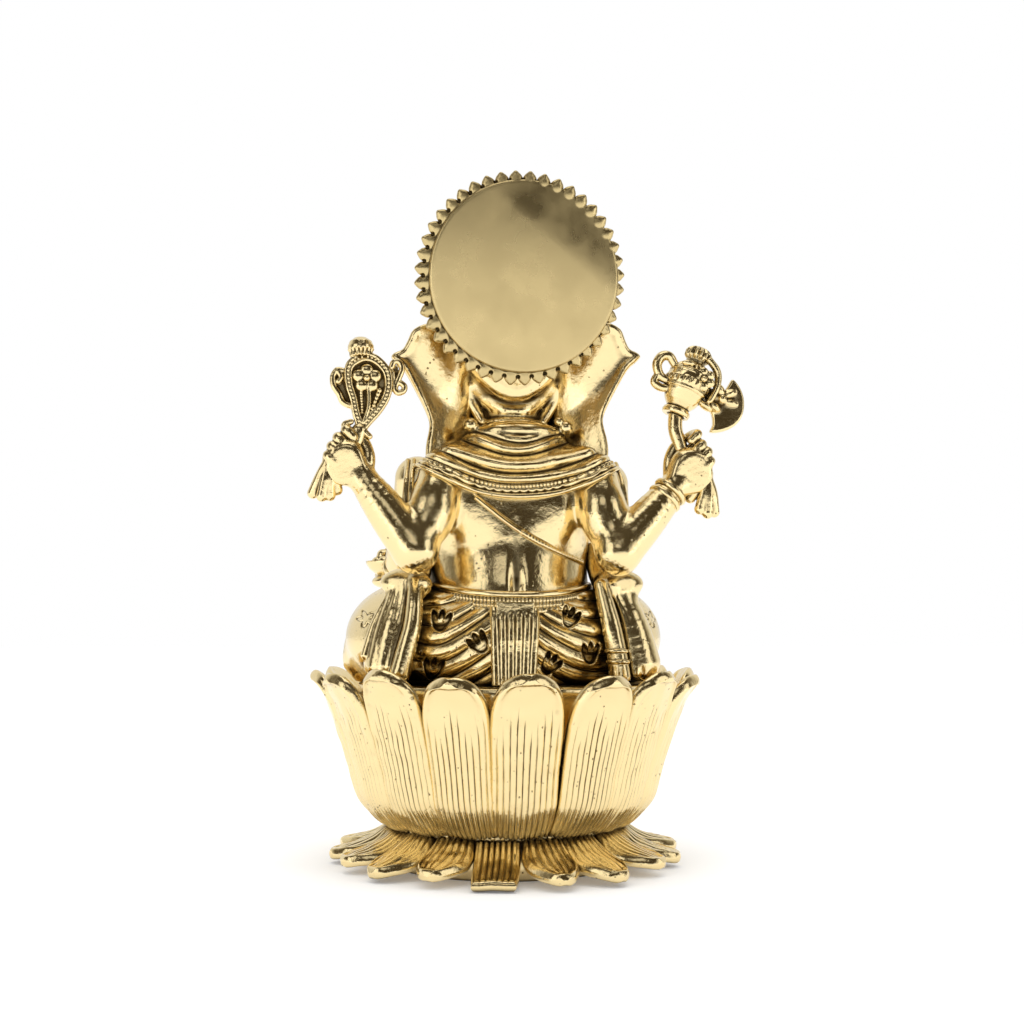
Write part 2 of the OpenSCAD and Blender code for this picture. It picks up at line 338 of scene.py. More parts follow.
def block_cells(solid, low, step, blocks, size):
    """Crossing points, keys and edge flags of the surface cells in some blocks."""
    corner = np.stack(np.meshgrid(*[np.arange(SPAN + 1)] * 3, indexing="ij"), -1).reshape(-1, 3)
    index = blocks[:, None, :] * SPAN + corner
    p = (low + index.reshape(-1, 3) * step).astype(F)
    v = solid(p).reshape(-1, SPAN + 1, SPAN + 1, SPAN + 1)
    inside = v < 0
    views = [inside[:, x : SPAN + x, y : SPAN + y, z : SPAN + z] for x, y, z in CORNERS]
    total = sum(w.astype(np.int8) for w in views)
    b, i, j, k = np.nonzero((total > 0) & (total < 8))
    if not len(b):
        return None
    values = np.stack([v[b, i + x, j + y, k + z] for x, y, z in CORNERS], 1)
    side = values < 0
    sums = np.zeros((len(b), 3), F)
    hits = np.zeros(len(b), F)
    for m, n in EDGES:
        crossed = side[:, m] != side[:, n]
        t = values[:, m] / np.where(crossed, values[:, m] - values[:, n], 1)
        point = CORNERS[m] + t[:, None] * (CORNERS[n] - CORNERS[m])
        sums += np.where(crossed[:, None], point, 0)
        hits += crossed
    cell = blocks[b] * SPAN + np.stack([i, j, k], 1)
    where = (low + (cell + sums / hits[:, None]) * step).astype(F)
    key = (cell[:, 0].astype(np.int64) * size[1] + cell[:, 1]) * size[2] + cell[:, 2]
    cross = np.stack([side[:, 0] != side[:, n] for n in (4, 2, 1)], 1)
    return where, key, cross, side[:, 0]


def slope(solid, p, e):
    """Distance and its gradient by four samples on a tetrahedron."""
    ways = np.array([(1, -1, -1), (-1, -1, 1), (-1, 1, -1), (1, 1, 1)], F)
    total = np.zeros_like(p)
    mean = np.zeros(len(p), F)
    for w in ways:
        d = solid(p + w * F(e))
        total += d[:, None] * w
        mean += d
    return mean / 4, total / (4 * e)


def settled(solid, p, step):
    """Vertices moved onto the surface."""
    for _ in range(2):
        d, g = slope(solid, p, step * 0.3)
        size = np.maximum((g * g).sum(1), 0.05)
        move = d[:, None] * g / size[:, None]
        far = np.maximum(length(move) / (step * 0.8), 1)
        p = p - (move / far[:, None]).astype(F)
    return p


def sculpted(solid, step=FINE):
    """Vertices in millimetres and quads of a solid's surface."""
    low = solid.low.astype(float) - 2.5 * step
    size = np.ceil((solid.high - low + 2.5 * step) / (SPAN * step)).astype(int)
    grid = np.stack(np.meshgrid(*[np.arange(n) for n in size], indexing="ij"), -1).reshape(-1, 3)
    reach = SPAN * step * 0.87 * 1.4 + 0.5
    centres = (low + (grid + 0.5) * SPAN * step).astype(F)
    pieces = range(0, len(grid), 4096)
    with ThreadPoolExecutor(4) as pool:
        d = np.concatenate(list(pool.map(lambda s: solid(centres[s : s + 4096]), pieces)))
        blocks = grid[np.abs(d) < reach]
        parts = [blocks[s : s + 48] for s in range(0, len(blocks), 48)]
        cells = size * SPAN
        found = list(pool.map(lambda b: block_cells(solid, low, step, b, cells), parts))
        found = [f for f in found if f is not None]
        where = list(pool.map(lambda f: settled(solid, f[0], step), found))
    p = np.concatenate(where)
    key, cross, side = (np.concatenate([f[n] for f in found]) for n in (1, 2, 3))
    order = np.argsort(key)
    p, key, cross, side = p[order], key[order], cross[order], side[order]
    stride = (cells[1] * cells[2], cells[2], 1)
    faces = []
    for axis in range(3):
        s1, s2 = stride[(axis + 1) % 3], stride[(axis + 2) % 3]
        who = np.nonzero(cross[:, axis])[0]
        four = key[who][:, None] - np.array([s1 + s2, s2, 0, s1])
        slot = np.minimum(np.searchsorted(key, four), len(key) - 1)
        whole = (key[slot] == four).all(1)
        quads = slot[whole]
        out = side[who][whole]
        faces.append(np.where(out[:, None], quads, quads[:, ::-1]))
    return p, np.concatenate(faces)


def joined(parts):
    """Several (vertices, quads) as one."""
    bases = np.cumsum([0] + [len(p) for p, _ in parts[:-1]])
    quads = [q + base for (_, q), base in zip(parts, bases)]
    return np.concatenate([p for p, _ in parts]), np.concatenate(quads)


def sheet_quads(rows, columns, closed_rows=False, closed_columns=False):
    """Quads of a grid of rows x columns vertices, counted along the columns first."""
    r = np.arange(rows if closed_rows else rows - 1)
    c = np.arange(columns if closed_columns else columns - 1)
    r, c = (a.ravel() for a in np.meshgrid(r, c, indexing="ij"))
    r2, c2 = (r + 1) % rows, (c + 1) % columns
    return np.stack([r * columns + c, r * columns + c2, r2 * columns + c2, r2 * columns + c], 1)


def lathe(profile, count):
    """A closed ring-shaped surface: a loop of (radius, height) rows about the Z axis."""
    rows = np.array(profile, float)
    a = np.arange(count) * 2 * math.pi / count
    r = np.repeat(rows[:, 0:1], count, 1)
    z = np.repeat(rows[:, 1:2], count, 1)
    p = np.stack([r * np.cos(a), r * np.sin(a), z], -1)
    return p.reshape(-1, 3), sheet_quads(len(rows), count, True, True)


# ---- Objects and their relief


def relief(points, quads):
    """How hollow (positive) or proud (negative) the surface is at each vertex, in millimetres."""
    a = quads.ravel()
    b = np.roll(quads, -1, 1).ravel()
    ends = np.concatenate([a, b])
    other = np.concatenate([b, a])
    count = np.maximum(np.bincount(ends, minlength=len(points)), 1)
    d1 = points[quads[:, 2]] - points[quads[:, 0]]
    d2 = points[quads[:, 3]] - points[quads[:, 1]]
    face = np.cross(d1, d2)
    normal = np.stack([np.bincount(quads.ravel(), np.repeat(face[:, n], 4), len(points))
                       for n in range(3)], 1)
    normal /= np.maximum(length(normal), 1e-9)[:, None]
    edge = length(points[a[:4000]] - points[b[:4000]]).mean()
    out = np.zeros(len(points))
    smooth = points.astype(float)
    done = 0
    for reach, weight in ((0.5, 1.0), (1.6, 0.6)):
        turns = int(min(max((reach / edge) ** 2 * 1.6, 2), 60))
        while done < turns:
            near = np.stack([np.bincount(ends, smooth[other, n], len(points)) for n in range(3)], 1)
            smooth = smooth * 0.3 + near / count[:, None] * 0.7
            done += 1
        out += weight * ((smooth - points) * normal).sum(1)
    return out


def make(name, parts, material, slot, *nodes, fade=1):
    """One visible piece that stands for CAD nodes."""
    points, quads = joined(parts) if isinstance(parts, list) else parts
    hollow = relief(points, quads) * fade
    mesh = bpy.data.meshes.new(name)
    mesh.vertices.add(len(points))
    mesh.vertices.foreach_set("co", (points * MM).astype(F).ravel())
    mesh.loops.add(quads.size)
    mesh.loops.foreach_set("vertex_index", quads.astype(np.int32).ravel())
    mesh.polygons.add(len(quads))
    mesh.polygons.foreach_set("loop_start", np.arange(0, quads.size, 4, dtype=np.int32))
    mesh.update(calc_edges=True)
    mesh.validate()
    mesh.shade_smooth()
    layer_of = mesh.attributes.new("relief", "FLOAT", "POINT")
    if len(layer_of.data) == len(hollow):
        layer_of.data.foreach_set("value", hollow.astype(F))
    mesh.materials.append(material)
    obj = bpy.data.objects.new(name.replace(" ", "_"), mesh)
    bpy.context.scene.collection.objects.link(obj)
    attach(obj, "root")
    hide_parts(*nodes)
    return obj


def outward(points, quads):
    """The same shell with its faces turned outward."""
    a, b, c, d = (points[quads[:, n]] for n in range(4))
    volume = (a * np.cross(b, c)).sum() + (a * np.cross(c, d)).sum()
    return points, (quads if volume > 0 else quads[:, ::-1])


# ---- Lotus base

# Petals of the cup and of the skirt, and where the skirt petal with a square end points.
PETALS = 16
SKIRT_PETALS = 18
CUT_ANGLE = math.radians(79.4)
# Petal spines from foot to tip: radius, height and half width.
CUP_PETAL = [(28.4, 9.6, 6.05), (31.6, 12, 6.65), (35.4, 17, 7.25), (37.4, 24, 7.5), (39.6, 31, 7.95),
             (41.6, 36.6, 8.1), (43.3, 40.6, 7.6), (44.9, 43.3, 6.4), (46.3, 45.0, 4.7), (47.8, 45.9, 2.8)]
SKIRT_PETAL = [(27.6, 9.2, 4.7), (29.4, 7.6, 5.2), (32, 5.6, 6.0), (35.5, 4.0, 5.9), (39, 3.0, 4.6),
               (43.0, 2.0, 2.0)]
CUT_PETAL = [(27.6, 8.8, 5.1), (29.4, 6.6, 5.2), (32, 4.2, 5.3), (35.5, 2.6, 5.3), (39, 1.8, 5.2),
             (42.2, 1.5, 4.9)]


def petal_faces(uu, vv, x, wide, total, angle, thick, rib, rng, fan, ends, lip):
    """How far the front and the back of a petal stand from its middle surface."""
    edge = np.minimum((1 - np.abs(uu)) * wide[:, None] + 0.02, (1 - vv) * total + 0.02)
    round_off = np.sqrt(1 - np.clip(1 - edge / 1.1, 0, 1) ** 2)
    foot_off = np.sqrt(1 - np.clip(1 - vv * total / 0.8, 0, 1) ** 2)
    body = thick / 2 * round_off * foot_off
    phase = uu * fan / 2 + 0.5 + rng.uniform(-0.1, 0.1)
    line_end = ends + 0.07 * np.sin(phase * 5 + rng.uniform(0, 6)) + 0.05 * (1 - uu**2)
    groove = (0.5 + 0.5 * np.cos(phase * 2 * math.pi)) ** 4
    fade = (1 - step_up(line_end - 0.1, line_end + 0.05, vv)) * step_up(0.4, 1.2, edge)
    rim = lip * np.exp(-(((edge - 1.0) / 0.75) ** 2)) * step_up(0.3, 0.75, vv)
    belly = 0.5 * (1 - uu**2) * np.sin(np.clip(vv, 0, 1) * math.pi)
    places = np.stack([x, vv * total, x * 0 + angle * 9], -1).reshape(-1, 3).astype(F)
    rough = 0.10 * wobble(places, 4.5, int(rng.integers(1 << 30))).reshape(x.shape)
    return body + belly + rim + rough - rib * groove * fade, -body + belly * 0.6 + rough


def grid_rim(rows, across):
    """The vertex numbers round the edge of a grid, in order."""
    return np.concatenate([
        np.arange(across), np.arange(1, rows) * across + across - 1,
        (rows - 1) * across + np.arange(across - 2, -1, -1), np.arange(rows - 2, 0, -1) * across])


def petal(line, angle, thick, tip, rib, rng, fan=9, ends=0.6, square=False, lip=0.3, drop=1.0):
    """One closed petal: ribbed from its foot, smooth above, with a rolled rim."""
    rows = 72
    across = 101
    v = np.linspace(0, 1, rows) ** 0.9
    v = 1 - (1 - v) ** 1.25
    u = np.sin(np.linspace(-1, 1, across) * math.pi / 2)
    spine = path(line, 12)
    run = np.concatenate([[0], np.cumsum(np.hypot(*np.diff(spine[:, :2], axis=0).T))])
    total = run[-1]
    radius, height, wide = (np.interp(v * total, run, spine[:, n]) for n in range(3))
    dr = np.gradient(radius, v * total)
    dz = np.gradient(height, v * total)
    norm = np.hypot(dr, dz)
    facing = 1 if height[-1] > height[0] else -1
    nr, nz = facing * dz / norm, -facing * dr / norm
    if not square:
        over = np.clip((v - tip) / (1 - tip), 0, 1)
        wide = wide * np.sqrt(np.maximum(1 - over**2.2, 0.0004))
    vv, uu = np.meshgrid(v, u, indexing="ij")
    x = uu * wide[:, None]
    bend = drop * x * x / (2 * np.maximum(radius[:, None], 20))
    c, s = math.cos(angle), math.sin(angle)
    sides = []
    for lift in petal_faces(uu, vv, x, wide, total, angle, thick, rib, rng, fan, ends, lip):
        r = radius[:, None] + nr[:, None] * lift - bend * nr[:, None]
        z = height[:, None] + nz[:, None] * lift - bend * nz[:, None]
        sides.append(np.stack([r * c - x * s, r * s + x * c, z], -1).reshape(-1, 3))
    quads = sheet_quads(rows, across)
    rim = grid_rim(rows, across)
    after = np.roll(rim, -1)
    base = rows * across
    wall = np.stack([rim, after, after + base, rim + base], 1)
    return outward(np.concatenate(sides), np.concatenate([quads[:, ::-1], quads + base, wall]))


def beads_round(radius, height, half, count):
    """A circle of small beads."""
    beads = []
    for a in np.arange(count) * 2 * math.pi / count:
        middle = (radius * math.cos(a), radius * math.sin(a), height)
        beads.append(ball(middle, (half, half, half * 0.9)))
    return [sculpted(union(*beads), DETAIL)]


def lotus_cup(brass):
    rng = np.random.default_rng(16)
    wall = [(26.8, CUP_Z + 0.2), (31.6, 13.2), (35.0, 19), (36.2, 27), (36.6, 41.5), (36.9, 43.0),
            (36.0, 43.6), (34.6, SEAT_Z - 2.1), (33.9, 27), (32.8, 19), (29.4, 13.4), (24.4, CUP_Z + 0.2)]
    parts = [outward(*lathe(wall, 160))]
    for i in range(PETALS):
        angle = math.radians(90 + i * 360 / PETALS) + rng.normal() * 0.012
        out = rng.normal() * 0.35
        lift = rng.normal() * 0.5
        grow = 1 + rng.normal() * 0.02
        line = [(r + out * n / 9, z + lift * n / 9, h * grow) for n, (r, z, h) in enumerate(CUP_PETAL)]
        parts.append(petal(line, angle, 2.3, 0.93, 0.42, rng, fan=11, ends=0.68, lip=0.45, drop=1.2))
    return make("Lotus cup", parts, brass, "cast_brass", "lotus_cup")


def lotus_skirt(brass):
    rng = np.random.default_rng(18)
    foot = [(24.1, 0), (28.6, 0), (28.9, 0.6), (28.8, 6), (28.0, 8.6), (28.9, 9.6), (28.5, 10.4), (27, 10.8),
            (24.1, CUP_Z)]
    parts = [outward(*lathe(foot, 160)), *beads_round(29.0, 9.7, 0.62, 84)]
    for i in range(SKIRT_PETALS):
        angle = CUT_ANGLE + i * 2 * math.pi / SKIRT_PETALS
        if i == 0:
            parts.append(petal(CUT_PETAL, angle, 2.4, 1, 0.7, rng, fan=8, ends=0.95, square=True, lip=0,
                               drop=0.3))
            continue
        lift = (0.5 if i % 2 else -0.25) + rng.normal() * 0.15
        reach = rng.normal() * 0.5
        line = [(r + reach * n / 5, z + lift * n / 5, h) for n, (r, z, h) in enumerate(SKIRT_PETAL)]
        parts.append(petal(line, angle + rng.normal() * 0.012, 2.2, 0.9, 0.55, rng, fan=7, ends=0.8,
                           lip=0.45, drop=1.6))
    return make("Lotus skirt", parts, brass, "cast_brass", "lotus_skirt")


def seat_plate(brass):
    profile = [(2.7, SEAT_Z - 2), (34.4, SEAT_Z - 2), (36.4, SEAT_Z - 1.6), (36.4, SEAT_Z - 0.4),
               (36.0, SEAT_Z), (30, SEAT_Z), (2.7, SEAT_Z)]
    return make("Seat plate", [outward(*lathe(profile, 160))], brass, "cast_brass", "seat_plate")


# ---- The figure's skeleton, as in the CAD: shoulder, elbow, wrist and hand

L_REAR = [(17.6, 17, 93), (24.0, 22.6, 74.8), (36.6, 20.5, 92.1), (40.4, 21, 97.4)]
R_REAR = [(-19.4, 17, 93), (-23.9, 23, 74.6), (-38.8, 20.5, 91.2), (-42.2, 21, 96.8)]
L_FRONT = [(22.5, 2, 94), (23.6, -8, 79.4), (26.4, -20.2, 71.8), (28.4, -26, 69.6)]
R_FRONT = [(-25.2, 2.6, 93.2), (-28.5, -9, 79), (-26, -22, 88), (-25.5, -24.5, 95)]
SHOULDER_R = 5.6


def between(a, b, t):
    return tuple(p + (q - p) * t for p, q in zip(a, b))


def torso_solid():
    body = union(
        ball((0, 3, 80), (20.4, 17, 26)),
        ball((0, -8, 76.5), (19, 17, 16.5)),
        ball((0, 5.5, 92.5), (24, 13.5, 10)),
        ball((9.5, 13, 86), (7.5, 6.4, 10)),
        ball((-9.5, 13, 86), (7.5, 6.4, 10)),
        ball((0, 2.5, 65), (20.1, 19.6, 15)),
        ball((7.5, -9, 90), (8.5, 7, 7)),
        ball((-7.5, -9, 90), (8.5, 7, 7)),
        k=4,
    )
    spine = chain([(0, 22.2, 61, 1.1), (0, 21.6, 68, 1.0), (0, 21.3, 75, 0.7), (0, 21.4, 82, 0.4)])
    navel = ball((0, -25.4, 74), (1.6, 2.4, 1.3))
    return cut(cut(body, spine, k=2.2), navel, k=1.2)


def upper_arm_solid(s):
    x, y, z = between(s[0], s[1], 0.45)
    muscle = (x - math.copysign(0.9, x), y, z)
    return union(limb(s[0], s[1], SHOULDER_R, 5.1), ball(muscle, (5.3, 5.8, 7.6)), k=2)


def forearm_solid(s):
    rows = [(*s[1], 5.2), (*between(s[1], s[2], 0.28), 5.1), (*between(s[1], s[2], 0.62), 4.5), (*s[2], 3.3)]
    return chain(rows, 4)


def share(whole, own, others, over=0.5):
    """The part of a blended solid nearest one of the solids it was made of.

    Beyond the seam the surface dives under the neighbour's, so that no two faces lie together.
    """

    def seam(p):
        return (own(p) - others(p)) / 2

    def field(p):
        past = seam(p)
        return np.maximum(whole(p) + 0.4 * np.clip(past, 0, over), past - over)

    solid = Solid(field, np.maximum(own.low - 3, whole.low), np.minimum(own.high + 3, whole.high))
    solid.seam = seam
    return solid


def shared(name, solid, step, material, node):
    """A piece that meets its neighbours at a smooth seam, where it has no relief of its own."""
    points, quads = sculpted(solid, step)
    fade = step_up(-0.1, 1.8, -solid.seam(points.astype(F)))
    return make(name, (points, quads), material, "cast_brass", node, fade=fade)


# ---- Lower body

# Centre and half axes of the hips.
HIPS = ((0, 4, 54), (31, 22, 17))
# Sunk flowers on the back of the cloth: X, Z and turn in degrees.
MOTIFS = [(17.9, 58.4, 12), (9.2, 53.3, -35), (19.5, 47.2, 8), (-12.4, 59.2, 25), (-17.4, 50.8, 0),
          (-7.4, 48.3, 35)]


def motif_depth(p):
    """Three-lobed flowers sunk into the cloth behind the hips."""
    depth = np.zeros(len(p), F)
    back = p[:, 1] > 10
    if not back.any():
        return depth
    q = p[back]
    best = np.full(len(q), 9, F)
    for x, z, spin in MOTIFS:
        a = math.radians(spin)
        u = (q[:, 0] - x) * math.cos(a) + (q[:, 2] - z) * math.sin(a)
        v = -(q[:, 0] - x) * math.sin(a) + (q[:, 2] - z) * math.cos(a)
        bell = np.hypot(u / 1.5, (v + 1.0) / 1.4) - 1
        for lean in (-1, 0, 1):
            lobe = np.hypot((u - lean * (1.3 + 0.25 * v)) / 0.75, (v - 0.8 + abs(lean) * 0.4) / 2.1) - 1
            bell = np.minimum(bell, lobe)
        best = np.minimum(best, bell)
    depth[back] = 1.3 * step_up(0.1, -0.22, best)
    return depth


def fold_height(p):
    """Rolls of cloth that sweep down and outward from the pleats behind the hips."""
    x, y, z = p[:, 0], p[:, 1], p[:, 2]
    side = np.abs(x - 0.6)
    across = np.clip(side - 4, 0, 40)
    reach = np.minimum(across, 17)
    drop = 0.98 * reach - 0.0285 * reach**2
    phase = (z - 63 + drop + 0.7 * wobble(p, 15, 3)) / 4.4 + 0.3 * (x > 0)
    saw = phase - np.floor(phase)
    roll = np.sqrt(0.5 - 0.5 * np.cos(2 * math.pi * saw**0.8))
    back = step_up(-2, 9, y) * step_up(2, 5, side) * (1 - step_up(24, 32, side))
    front = step_up(-6, -16, y) * step_up(6, 12, np.abs(x))
    calm = 0.95 * (roll - 0.5) * back
    wrap = (np.abs(x) * 0.9 + z * 0.55 + 0.5 * wobble(p, 16, 5)) / 4.6
    ridge = 1 - np.abs(2 * (wrap - np.floor(wrap)) - 1)
    return calm + 0.55 * (ridge - 0.5) * front - motif_depth(p)


def legs_solid():
    return union(
        ball(*HIPS),
        ball((22.6, -4, 54.5), (17.2, 21, 14.2)),
        ball((-22.6, -4, 54.5), (17.2, 21, 14.2)),
        chain([(33, -12, 50, 7.6), (20, -24, 48.5, 6.2), (4, -28.5, 48.4, 4.6), (-5, -28, 48, 3.6)], 5),
        chain([(-33, -12, 50, 7.6), (-20, -24, 50, 6), (-5, -27, 51.6, 4.4), (4, -25.5, 53, 3.6)], 5),
        k=3,
    )


def knee_flower(p):
    """A shallow flower engraved on the outside of each knee."""
    q = np.stack([np.abs(p[:, 0]) - 35, p[:, 2] - 59], 1)
    r = np.hypot(q[:, 0], q[:, 1])
    a = np.arctan2(q[:, 1], q[:, 0])
    rim = 2.1 * (0.75 + 0.25 * np.cos(5 * a))
    return 0.3 * np.exp(-(((r - rim) / 0.3) ** 2)) * (p[:, 1] > 0)


def legs(brass):
    cloth = raised(legs_solid(), lambda p: fold_height(p) - knee_flower(p))
    feet = union(limb((-6, -27, 47.8), (-10.5, -27.5, 46.8), 3.0, 2.4),
                 *[limb((-10, -27.5 + i * 1.1, 46.2), (-13.4, -28.2 + i * 1.3, 45.6), 0.9, 0.75)
                   for i in range(-2, 3)], limb((5, -25.5, 53), (10, -26, 51.6), 3.0, 2.3),
                 *[limb((9.6, -26 + i * 1.1, 51.2), (13, -26.6 + i * 1.3, 50.4), 0.9, 0.75)
                   for i in range(-2, 3)], k=1.0)
    whole = common(union(cloth, feet, k=1.2), layer(SEAT_Z - 0.3, WAIST_Z + 8), k=0.6)
    return make("Legs and dhoti", sculpted(whole), brass, "cast_brass", "legs_dhoti")


def hips_back(x, z, out):
    """A Y just outside the hips at this X and Z."""
    (cx, cy, cz), (hx, hy, hz) = HIPS
    inner = 1 - ((x - cx) / hx) ** 2 - ((z - cz) / hz) ** 2
    return cy + hy * math.sqrt(max(inner, 0.02)) + out


def pleats(brass):
    """Five hanging pleats, between six rolls of cloth, down the middle of the back."""
    top, foot = WAIST_Z - 0.4, SEAT_Z + 0.2
    bars = []
    for i in range(6):
        u = (i - 2.5) / 2.5
        rows = []
        for t in np.linspace(0, 1, 6):
            z = top + (foot - top) * t
            x = 0.9 + u * (5.0 - 0.9 * t) + 0.5 * t
            out = min(hips_back(x, z, 0.1), 26.2) if t < 0.6 else 26.0 + 1.6 * (t - 0.6)
            rows.append((x, out, z, 0.98 + 0.08 * t))
        bars.append(chain(rows, 3))
    bars.append(plate([(-3.6, top), (5.4, top), (5.0, foot), (-2.2, foot)], 23.6, 1.9))
    solid = common(union(*bars, k=0.35), layer(foot, top + 0.6), k=0.3)
    return make("Rear pleats", sculpted(solid, DETAIL), brass, "cast_brass", "rear_pleats")


# For each side: the broad fold with its radii, then the fine folds beside it.
SASH = {1: ([(23.8, 18.6, 67.6, 1.7), (24.0, 20.6, 62.0, 2.0), (24.6, 21.6, 57.0, 2.1),
             (26.0, 21.8, 51.5, 2.3), (27.2, 21.8, 46.6, 2.5)],
            [[(26.0, 17.6, 68.0), (27.4, 19.6, 57.4), (29.6, 20.4, 48.0)],
             [(26.8, 17.0, 68.2), (29.6, 18.8, 57.6), (31.4, 19.8, 46.6)],
             [(27.6, 16.0, 68.0), (31.4, 17.6, 58.0), (33.4, 18.6, 47.8)],
             [(28.2, 15.0, 67.4), (32.8, 16.2, 58.6), (35.2, 17.0, 50.6)]]),
        -1: ([(-20.4, 19.6, 67.0, 1.7), (-21.4, 20.8, 62.0, 2.1), (-22.4, 21.8, 57.2, 2.3),
              (-23.6, 22.0, 51.0, 2.4), (-24.4, 22.0, 45.4, 2.5)],
             [[(-23.0, 18.0, 67.2), (-26.6, 19.4, 58.0), (-28.4, 20.4, 46.2)],
              [(-24.0, 16.8, 67.4), (-28.2, 18.0, 58.6), (-30.6, 19.0, 46.8)],
              [(-24.8, 15.6, 67.2), (-29.6, 16.6, 59.4), (-32.6, 17.2, 49.6)]])}


def sash(side, brass):
    """A knotted sash end: one broad soft fold with an open end, and fine folds that fan out."""
    broad, fine = SASH[side]
    bars = [chain(broad, 5)]
    for rows in fine:
        (x, y, z), mid, (fx, fy, fz) = rows
        bars.append(chain([(x, y, z, 0.75), (*mid, 0.95), (fx, fy, fz, 1.15)], 6))
    backing = chain([(side * 25.0, 14.6, 67, 3.2), (side * 28.0, 15.8, 57, 4.8),
                     (side * 29.8, 15.4, 48.6, 5.8)], 4)
    knot = union(ball((side * 26.4, 14.6, 67.6), (5.4, 3.4, 3.2)),
                 ball((side * 22.6, 16.8, 67.0), (3.0, 3.0, 2.6)), k=2)
    tuck = chain([(side * 23.4, 11, 66.5, 2.9), (side * 21.8, 8, 71.5, 2.6), (side * 21.2, 5, 76.5, 1.8)], 4)
    solid = union(union(*bars, k=0.5), union(backing, knot, tuck, k=3), k=0.9)
    if side < 0:
        solid = raised(solid, lambda p: 0.4 * (bump_row(p[:, 2] - 51.5, 0.5) + bump_row(p[:, 2] - 49.0, 0.5))
                       * (np.abs(p[:, 0]) < 27), 0.6)
    x, y, z, r = broad[-1]
    mouth = limb((x, y + 0.4, z - 2.4), (x, y, z + 1.2), r * 0.62, r * 0.5)
    solid = common(cut(solid, mouth, k=0.3), layer(SEAT_Z + 0.9, 79), k=0.4)
    name = "Left sash" if side > 0 else "Right sash"
    node = "left_sash" if side > 0 else "right_sash"
    return make(name, sculpted(solid, DETAIL), brass, "cast_brass", node)


# ---- Belt, thread and shawl


def belt_height(x, y):
    """The belt dips behind the hips."""
    a = np.arctan2(y - 2, x)
    return WAIST_Z + 3.1 - 3.0 * np.maximum(np.sin(a), 0) ** 2 - 1.5 * np.maximum(-np.sin(a), 0) ** 2


def belt(brass):
    def field(p):
        q = np.stack([p[:, 0] / 0.99, (p[:, 1] - 2) / 1.12], 1)
        r = np.hypot(q[:, 0], q[:, 1])
        a = np.arctan2(q[:, 1], q[:, 0])
        h = p[:, 2] - belt_height(p[:, 0], p[:, 1])
        rib = np.hypot(r - 20.4, h - 1.0) - 0.85
        band = np.maximum(np.abs(r - 19.6) - 1.0, np.abs(h + 1.2) - 2.1)
        beads = 0.42 * np.abs(np.cos(a * 72)) * (bump_row(h + 0.35, 0.6) + bump_row(h + 1.55, 0.55))
        beads += 0.3 * np.abs(np.cos(a * 40)) * bump_row(h + 2.75, 0.55)
        return np.minimum(rib, band - beads)

    solid = Solid(field, (-23, -21, WAIST_Z - 3.4), (23, 25.5, BELT_Z + 2.6))
    return make("Waist belt", sculpted(solid, DETAIL), brass, "cast_brass", "waist_belt")


def skin_y(solid, x, z, low, high, count):
    """First and last Y inside a solid on a line along Y, or None where the line misses it."""
    ys = np.linspace(low, high, count)
    p = np.stack([np.full(count, x), ys, np.full(count, z)], 1).astype(F)
    inside = ys[solid(p) < 0]
    return (float(inside[0]), float(inside[-1])) if len(inside) else None


def back_of(solid, x, z):
    """Y of a solid's back surface."""
    found = skin_y(solid, x, z, 2, 30, 281)
    return found[1] if found else 15.0


def sacred_thread(brass):
    rows = []
    for t in np.linspace(0, 1, 14):
        x = 9.5 - 26.5 * t
        z = 87.5 - 14.5 * t - 2.2 * math.sin(t * math.pi)
        rows.append((x, back_of(TORSO, x, z), z))
    main = chain([(x, y + 0.15, z, 0.55) for x, y, z in rows], 3)
    twin = chain([(x + 0.5, y, z + 1.1, 0.38) for x, y, z in rows], 3)
    line = path(rows, 8)
    beads = [ball((x, y + 0.3, z), 0.72) for x, y, z in line[int(len(line) * 0.42) :: 3]]
    solid = union(main, twin, *beads, k=0.25)
    return make("Sacred thread", sculpted(solid, DETAIL), brass, "cast_brass", "sacred_thread")


def hem_height(x):
    return 87.2 + 8.0 * (np.minimum(np.abs(x), 25) / 25) ** 2


def shawl_height(p):
    """Folds above the lace hem, in curves that rise ever more steeply towards the collar."""
    x, z = p[:, 0] + 0.6, p[:, 2]
    hem = hem_height(x)
    wide = np.minimum(np.abs(x), 25) ** 2
    t = (z - hem) / (15.4 + 0.02 * wide)
    for _ in range(5):
        miss = hem + 15.4 * t + 0.042 * t**3 * wide - z
        t = np.clip(t - miss / (15.4 + 0.126 * t * t * wide), -1, 1.5)
    t = t + 0.02 * wobble(p, 16, 11)
    around = np.arctan2(x, p[:, 1] - 4) * 19.5
    height = 0.75 * bump_row(t - 0.035, 0.055)
    lace = 0.03 * np.abs(np.sin(around * math.pi / 2.2))
    height += 0.3 * step_up(0.125 - lace, 0.14 - lace, t) * (1 - step_up(0.15, 0.17, t))
    height += 0.45 * bump_row(t - 0.2, 0.028) * (0.55 + 0.45 * np.cos(around * 2 * math.pi / 0.95))
    for low, high, rise in ((0.235, 0.41, 0.8), (0.41, 0.70, 1.5), (0.70, 0.95, 1.5)):
        s = np.clip((t - low) / (high - low), 0, 1)
        height += rise * (0.5 - 0.5 * np.cos(2 * math.pi * s**0.8)) ** 0.7
    return height * step_up(-5, 3, p[:, 1]) * step_up(-0.02, 0.01, t)


